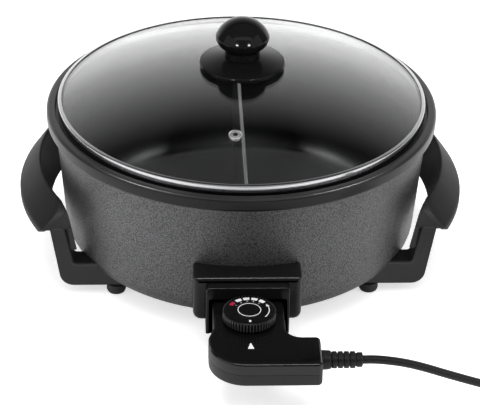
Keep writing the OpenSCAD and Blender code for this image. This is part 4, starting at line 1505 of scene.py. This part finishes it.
class SKILLET_OT_lid(bpy.types.Operator):
    """Domed glass with its steel band, vent, and knob on a base plate."""

    bl_idname = "skillet.lid"
    bl_label = "Lid"

    def execute(self, context):
        self.glass()
        self.band()
        self.vent()
        self.knob_plate()
        self.knob_head()
        return {"FINISHED"}

    def glass(self):
        """Dome of even thickness, with holes for the knob's screw and the vent."""
        edge = reach("lid_glass")[1].x
        screw_hole = 3.2
        vent_hole = 3.65
        steps = 40
        radii = [screw_hole + (edge - screw_hole) * k / steps for k in range(steps + 1)]
        outer = [(r, dome_height(r)) for r in radii]
        inner = [(r, dome_height(r, -GLASS)) for r in reversed(radii)]
        place = vent_place()
        hole = rod(vent_hole, place @ Vector((0, 0, -9)), place @ Vector((0, 0, 6)))
        shape = carved(turned(outer + inner, 180), [hole])
        seated_piece("glass_dome", shape, "lid", [made("glass", lid_glass_finish)], ["lid_glass"])

    def band(self):
        """Folded steel band that grips the glass from above and below."""
        low = reach("lid_band")[0].z
        sheet = 0.8
        bend = 1.0
        lip = LID_RADIUS - 3.2
        hem = LID_RADIUS - 4
        inside = LID_RADIUS - sheet
        top = dome_height(LID_RADIUS - 2.0, sheet) - 0.2
        gap = 0.02
        fold = filleted(
            [
                (hem, low + sheet, 0), (hem, low, 0.2), (LID_RADIUS, low, bend), (LID_RADIUS, top, bend),
                (lip, dome_height(lip, sheet), 0.3), (lip, dome_height(lip, gap), 0),
                (inside, dome_height(inside, gap), 0), (inside, low + sheet, 0),
            ]
        )
        shape = turned(fold, 220)
        upper = -GLASS - gap
        lower = upper - sheet
        corners = ((lip, upper), (inside, upper), (inside, lower), (lip, lower))
        added(shape, turned([(radius, dome_height(radius, lift)) for radius, lift in corners], 180))
        steel = made("band", turned_metal, "polished_band", (0.5, 0.5, 0.51), 0.1, 0.2, 1800.0)
        seated_piece("band_ring", shape, "lid", [steel], ["lid_band"])

    def vent(self):
        """Steel eyelet, rolled over the glass on both sides."""
        hole = 2.4
        stem = 3.6
        wide = 5.7
        under = 4.7
        profile = filleted(
            [
                (hole, -5.2, 0.2), (under, -5.2, 0.3), (under, -4.2, 0.3), (stem, -4.2, 0), (stem, 0.15, 0),
                (wide, 0.15, 0.3), (wide, 0.9, 0.6), (4.2, 1.55, 0.8), (hole, 1.3, 0.5),
            ]
        )
        shape = turned(profile, 48, True, vent_place())
        steel = made("vent", turned_metal, "vent_steel", (0.86, 0.86, 0.86), 0.3, 0.42)
        seated_piece("vent_ring", shape, "lid", [steel], ["vent_eyelet"])

    def knob_plate(self):
        """Round plate under the knob, hollow below, whose edge sits over the glass."""
        wide = reach("knob_base")[1].x
        hollow = wide - 12
        neck = 15.8
        bore = 2.8
        seat = 1.4
        ceiling = APEX_Z + 4
        edge = APEX_Z + 3.5
        top = KNOB_FOOT - 0.1
        profile = filleted(
            [
                (bore, ceiling + 0.1, 0), (hollow, ceiling, 0.5), (hollow, dome_height(hollow, seat), 0.4),
                (wide, dome_height(wide, seat), 0.6), (wide, edge, 1.2), (neck + 4.2, top - 0.9, 14),
                (neck, top, 0.6), (bore, top, 0),
            ]
        )
        shape = turned(profile, 128)
        seated_piece("knob_plate", shape, "lid", [knob_black()], ["knob_base"])

    def knob_head(self):
        """Domed knob on a flared neck, bored for its screw."""
        head = reach("lid_knob")[1].x
        foot = KNOB_FOOT
        neck = 15.3
        bore = 2.6
        depth = 18
        # The cap is part of a sphere that meets the head's edge.
        cap = head + 2
        slope = math.asin(head / cap)
        middle = KNOB_TOP - cap
        steps = 16
        angles = [slope * 0.86 * (1 - k / steps) for k in range(steps + 1)]
        crown = [(cap * math.sin(angle), middle + cap * math.cos(angle), 0) for angle in angles]
        flare = [
            (bore, foot, 0), (neck, foot, 0.5), (neck, foot + 7, 4), (neck + 6, foot + 12.1, 8),
            (head, foot + 17.2, 4), (head, middle + cap * math.cos(slope), 3),
        ]
        profile = [(0, foot + depth), (bore, foot + depth)]
        profile += filleted(flare + crown, closed=False, steps=12)
        shape = turned(profile, 128, False)
        seated_piece("knob_head", shape, "lid", [knob_black()], ["lid_knob"])


# Socket housing


class SKILLET_OT_socket(bpy.types.Operator):
    """Hooded housing on the pan's front, with the tunnel that takes the control."""

    bl_idname = "skillet.socket"
    bl_label = "Socket housing"

    def execute(self, context):
        low, high = reach("socket_housing")
        half = high.x
        top = high.z
        front = -176
        behind = -140
        bottom = 29
        tunnel = 34.5
        inside = tunnel - 3.7
        ceiling = 54
        bar_top = 66
        gap = 0.3

        def against_wall(x, z, y):
            radius = wall_radius(z) + gap
            return Vector((x, min(y, -math.sqrt(max(0.0, radius**2 - x * x))), z))

        hood = filleted(
            [
                (-half, bottom, 8), (-inside, bottom, 0), (-inside, ceiling, 0), (inside, ceiling, 0),
                (inside, bottom, 0), (half, bottom, 8), (half, top, 3), (-half, top, 3),
            ]
        )
        shape = stacked(subdivided(hood, 6), rounded_end(front, 1, 4.6) + [(behind, 0)], against_wall)
        sleeve = filleted(
            [
                (-tunnel, low.z, 1), (-inside, low.z, 1), (-inside, ceiling, 0.8), (inside, ceiling, 0.8),
                (inside, low.z, 1), (tunnel, low.z, 1), (tunnel, bar_top, 3.5), (-tunnel, bar_top, 3.5),
            ]
        )
        levels = rounded_end(low.y, 1, 1.0) + [(behind, 0)]
        added(shape, stacked(subdivided(sleeve, 6), levels, against_wall))
        added(shape, self.rear_wall(inside + 1, low.z + 1, ceiling + 1))
        finishes = [socket_black()]
        seated_piece("socket_hood", shape, "pan_body", finishes, ["socket_housing"], 30)
        return {"FINISHED"}

    def rear_wall(self, half, low, high):
        """Wall at the tunnel's end, with holes for the two terminals and the probe."""
        front = -WALL_LOW - 13.75
        thick = 3
        corners = [(-half, low), (half, low), (half, high), (-half, high)]
        wall = stacked(corners, [(front, 0), (front + thick, 0)], sideways)
        over = 8
        terminal = 4.55
        probe = 4.6
        holes = [
            rod(radius, (x, front - over, TERMINAL_Z), (x, front + thick + over, TERMINAL_Z))
            for x, radius in ((-TERMINAL_X, terminal), (TERMINAL_X, terminal), (0, probe))
        ]
        return carved(wall, holes)


# Control and dial


def control_outline():
    """The control seen from above: a neck, and a head whose side arm takes the cord."""
    neck = 29
    left = -33.5
    corner = 30
    steps = 14
    back_round = 3.2
    swing = [math.pi + math.pi / 2 * k / steps for k in range(steps + 1)]
    centre_x = left + corner
    centre_y = corner - CONTROL_FRONT
    curve = [(centre_x + corner * math.cos(a), centre_y + corner * math.sin(a), 0) for a in swing]
    before = [(-neck, -CONTROL_BACK, back_round), (-neck, -ARM_BACK + 14, 6), (left, -ARM_BACK, 6)]
    after = [
        (ARM_RIGHT, -CONTROL_FRONT, 4), (ARM_RIGHT, -ARM_BACK, 4), (neck, -ARM_BACK, 16),
        (neck, -CONTROL_BACK, back_round),
    ]
    return filleted(before + curve + after, steps=10)


class SKILLET_OT_control(bpy.types.Operator):
    """The control's two covers, with the pointer printed on top."""

    bl_idname = "skillet.control"
    bl_label = "Control"
    wall = 2.5
    groove = 0.35

    def execute(self, context):
        self.top_cover(context.scene.skillet_control.top_round)
        self.bottom_cover()
        self.pointer()
        return {"FINISHED"}

    def cover(self, levels, room, holes):
        """One hollow half of the control, with the openings that both halves share."""
        outline = control_outline()
        hollow = stacked(inset(outline, self.wall), [(room[0], 0), (room[1], 0)], upward)
        shape = carved(stacked(outline, levels, upward), [hollow], True)
        over = 5
        terminal = 3.75
        probe = 4.1
        relief = 5.3
        for x, radius in ((-TERMINAL_X, terminal), (TERMINAL_X, terminal), (0, probe)):
            behind = (x, -CONTROL_BACK + over, TERMINAL_Z)
            ahead = (x, -CONTROL_BACK - over, TERMINAL_Z)
            holes.append(rod(radius, behind, ahead))
        inside = (ARM_RIGHT - 6, -RELIEF_Y, PARTING)
        outside = (ARM_RIGHT + 3, -RELIEF_Y, PARTING)
        holes.append(rod(relief, inside, outside))
        return carved(shape, holes)

    def top_cover(self, top_round):
        """Glossy top with satin sides, and a hole for the dial's spindle."""
        shaft = rod(3.4, (0, DIAL_Y, PARTING), (0, DIAL_Y, CONTROL_TOP + 2))
        levels = rounded_levels(PARTING, CONTROL_TOP, self.groove, top_round)
        shape = self.cover(levels, (PARTING - 1, CONTROL_TOP - self.wall), [shaft])
        for face in shape.faces:
            face.material_index = 0 if face.normal.z > 0.35 else 1
        finishes = [gloss_black(), side_black()]
        seated_piece("control_lid", shape, "control", finishes, ["control_top_cover"])

    def bottom_cover(self):
        """Satin tray with holes for three screws."""
        low = CONTROL_BOTTOM
        screws = ((-21, -226), (21, -226), (ARM_RIGHT - 11, -ARM_BACK - 9))
        holes = [rod(3.2, (x, y, low - 1), (x, y, low + self.wall + 1)) for x, y in screws]
        levels = rounded_levels(low, PARTING, 2.4, self.groove)
        shape = self.cover(levels, (low + self.wall, PARTING + 1), holes)
        finishes = [side_black()]
        seated_piece("control_tray", shape, "control", finishes, ["control_bottom_cover"])

    def pointer(self):
        """Small white triangle in front of the dial."""
        ink = 0.06
        half = 2.6
        tip = DIAL_Y - 31
        foot = tip - 9
        triangle = filleted([(-half, foot, 0.4), (half, foot, 0.4), (0, tip, 0.4)], steps=3)
        shape = stacked(triangle, [(CONTROL_TOP - ink, 0), (CONTROL_TOP + ink, 0)], upward)
        seated_piece("pointer_mark", shape, "control", [white_ink()], [])


def on_dial(radius, angle):
    """A spot on the dial's face, from a radius and an angle in degrees."""
    a = math.radians(angle)
    return (radius * math.cos(a), DIAL_Y + radius * math.sin(a))


class SKILLET_OT_dial(bpy.types.Operator):
    """Dial with its grip ridges, scale and numbers."""

    bl_idname = "skillet.dial"
    bl_label = "Dial"
    ink = 0.05
    face = DIAL_HIGH - 0.1
    bars = (14.4, 17.8)

    def execute(self, context):
        self.grip(context.scene.skillet_control.ridges)
        self.scale()
        self.numbers()
        return {"FINISHED"}

    def grip(self, count):
        """Turned body with a ring groove in its face; its ridges are repeated round the side."""
        wide = reach("dial")[1].x
        proud = 0.6
        body = wide - proud
        skirt = DIAL_LOW + 2
        hub = 15
        shaft = 3.05
        socket = DIAL_HIGH - 2.4
        ring = 10.5
        groove = DIAL_HIGH - 0.6
        rim = [
            (shaft, DIAL_LOW, 0), (hub, DIAL_LOW, 0.4), (hub, skirt, 0.4), (body, skirt, 0.6),
            (body, DIAL_HIGH - 0.4, 1.6), (wide - 3.4, DIAL_HIGH, 1.0), (ring + 0.7, self.face, 0.3),
            (ring + 0.3, groove, 0.2), (ring - 0.3, groove, 0.2), (ring - 0.7, self.face, 0.3),
            (0, self.face, 0),
        ]
        profile = [(0, socket), (shaft, socket)] + filleted(rim, closed=False)
        shape = turned(profile, 120, False, Matrix.Translation((0, DIAL_Y, 0)))
        bmesh.ops.transform(shape, matrix=SEAT, verts=shape.verts)
        plain_faces = len(shape.faces)
        ridges = repeated_round(
            "dial_ridges", self.ridge(proud), SEAT @ Vector((0, DIAL_Y, 0)), body * MM, count, ridge_black()
        )
        shape.from_mesh(ridges)
        bpy.data.meshes.remove(ridges)
        shape.faces.ensure_lookup_table()
        # The ridges take the lighter grey: a painted sheen round the dial's side.
        for face in shape.faces[plain_faces:]:
            face.material_index = 1
        piece = bare_object("dial_grip", shape)
        dressed(piece, "dial_unit", [gloss_black(), ridge_black()], ["dial"])

    def ridge(self, proud):
        """One ridge, standing out along X."""
        half = 0.55
        root = -0.4
        low = DIAL_LOW + 2.1
        rib = filleted([(root, -half, 0), (proud, -half, 0.3), (proud, half, 0.3), (root, half, 0)], steps=3)
        shape = stacked(rib, rounded_levels(low, DIAL_HIGH - 0.4, 0.3, 0.9, 3), upward)
        bmesh.ops.scale(shape, vec=(MM, MM, MM), verts=shape.verts)
        return bare_object("ridge", shape)

    def flat(self, outline):
        """A thin print of an outline on the dial's face."""
        return stacked(outline, [(self.face - self.ink, 0), (self.face + 2 * self.ink, 0)], upward)

    def arc(self, inner, outer, first, last, steps=10):
        """A printed curved bar between two radii and two angles in degrees."""
        angles = [first + (last - first) * k / steps for k in range(steps + 1)]
        far = [on_dial(outer, angle) for angle in angles]
        near = [on_dial(inner, angle) for angle in reversed(angles)]
        return self.flat(far + near)

    def scale(self):
        """Printed scale: four white bars and a red one, an arrow, a tick and a ring."""
        shape = bmesh.new()
        bar_turn = 18
        for first in range(40, 136, 24):
            added(shape, self.arc(*self.bars, first, first + bar_turn))
        sweep = self.arc(15.7, 16.4, -40, 20)
        arrow = self.flat([on_dial(16.05, 31), on_dial(14.6, 18), on_dial(17.5, 18)])
        tick = self.arc(15.0, 17.6, -93, -87)
        added(shape, sweep, arrow, tick)
        ring_part = 60
        for first in range(0, 360, ring_part):
            added(shape, self.arc(8.9, 9.5, first, first + ring_part))
        seated_piece("dial_scale", shape, "dial_unit", [white_ink()], [])
        red = made("red_ink", printed, "red_ink", (0.36, 0.014, 0.045))
        low_mark = self.arc(*self.bars, 138, 138 + bar_turn)
        seated_piece("dial_low_mark", low_mark, "dial_unit", [red], [])

    def numbers(self):
        """Plain numbers inside the bars."""
        digits = bmesh.new()
        ring = 12.6
        for k, angle in enumerate((147, 121, 97, 73, 49)):
            text = bpy.data.curves.new("digit", "FONT")
            text.body = str(k + 1)
            text.size = 2.4
            text.extrude = self.ink
            text.align_x = "CENTER"
            text.align_y = "CENTER"
            holder = bpy.data.objects.new("digit", text)
            bpy.context.scene.collection.objects.link(holder)
            mesh = settled_mesh(holder)
            spot = Matrix.Translation((*on_dial(ring, angle), self.face + self.ink))
            mesh.transform(spot @ Matrix.Rotation(math.radians(angle - 90), 4, "Z"))
            digits.from_mesh(mesh)
            bpy.data.meshes.remove(mesh)
        tidy(digits)
        seated_piece("dial_numbers", digits, "dial_unit", [white_ink()], [])


# Metal and ceramic pieces that stay as the frame has them


class SKILLET_OT_hardware(bpy.types.Operator):
    """Finishes of the screws, terminals, element and inner works."""

    bl_idname = "skillet.hardware"
    bl_label = "Hardware"

    def execute(self, context):
        element = made("element", moulded, "oxidised_sheath", (0.11, 0.105, 0.1), 0.45, 0.6, 0.00003)
        ceramic = made("ceramic", moulded, "fired_ceramic", (0.72, 0.69, 0.62), 0.3, 0.45, 0.00002)
        brass = made("brass", turned_metal, "plain_brass", (0.62, 0.44, 0.16), 0.25, 0.4)
        steel = made("steel", turned_metal, "bright_steel", (0.62, 0.62, 0.63), 0.2, 0.34)
        finishes = {
            element: ["heating_element"],
            ceramic: ["terminal_insulators", "contact_block", "contact_spacer"],
            brass: ["left_contact_sleeve", "right_contact_sleeve", "bimetal_strip", "contact_spring"],
            black_rubber(): ["knob_gasket"],
            steel: [
                "terminal_pins", "socket_screws", "handle_screws", "knob_washer", "knob_screw",
                "control_screws", "temperature_probe", "thermostat_frame", "dial_spindle", "plug_pins",
            ],
        }
        for finish, names in finishes.items():
            for name in names:
                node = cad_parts[name]
                node.data.materials.clear()
                node.data.materials.append(finish)
        return {"FINISHED"}


class SKILLET_PT_pieces(bpy.types.Panel):
    """Lists the skillet's pieces and looks."""

    bl_idname = "SKILLET_PT_pieces"
    bl_label = "Electric Skillet"
    bl_space_type = "VIEW_3D"
    bl_region_type = "UI"
    bl_category = "Skillet"

    def draw(self, context):
        for operator in OPERATORS:
            self.layout.operator(operator.bl_idname)
        for label, group in LOOKS.items():
            box = self.layout.box()
            look = getattr(context.scene, label)
            for name in group.__annotations__:
                box.prop(look, name)


OPERATORS = (
    SKILLET_OT_stage,
    SKILLET_OT_cord,
    SKILLET_OT_pan,
    SKILLET_OT_handles,
    SKILLET_OT_lid,
    SKILLET_OT_socket,
    SKILLET_OT_control,
    SKILLET_OT_dial,
    SKILLET_OT_hardware,
    SKILLET_OT_edge_lights,
)
LOOKS = {
    "skillet_pan": PanLook,
    "skillet_handles": HandleLook,
    "skillet_control": ControlLook,
    "skillet_cord": CordLook,
    "skillet_stage": StageLook,
}


def register():
    for group in LOOKS.values():
        bpy.utils.register_class(group)
    for operator in OPERATORS:
        bpy.utils.register_class(operator)
    bpy.utils.register_class(SKILLET_PT_pieces)
    for label, group in LOOKS.items():
        setattr(bpy.types.Scene, label, bpy.props.PointerProperty(type=group))


def unregister():
    for label in LOOKS:
        delattr(bpy.types.Scene, label)
    bpy.utils.unregister_class(SKILLET_PT_pieces)
    for operator in reversed(OPERATORS):
        bpy.utils.unregister_class(operator)
    for group in reversed(LOOKS.values()):
        bpy.utils.unregister_class(group)


def main():
    register()
    bpy.ops.skillet.stage()
    bpy.ops.skillet.cord()
    bpy.ops.skillet.pan()
    bpy.ops.skillet.handles()
    bpy.ops.skillet.lid()
    bpy.ops.skillet.socket()
    bpy.ops.skillet.control()
    bpy.ops.skillet.dial()
    bpy.ops.skillet.hardware()
    bpy.ops.skillet.edge_lights()


if __name__ == "__main__":
    main()
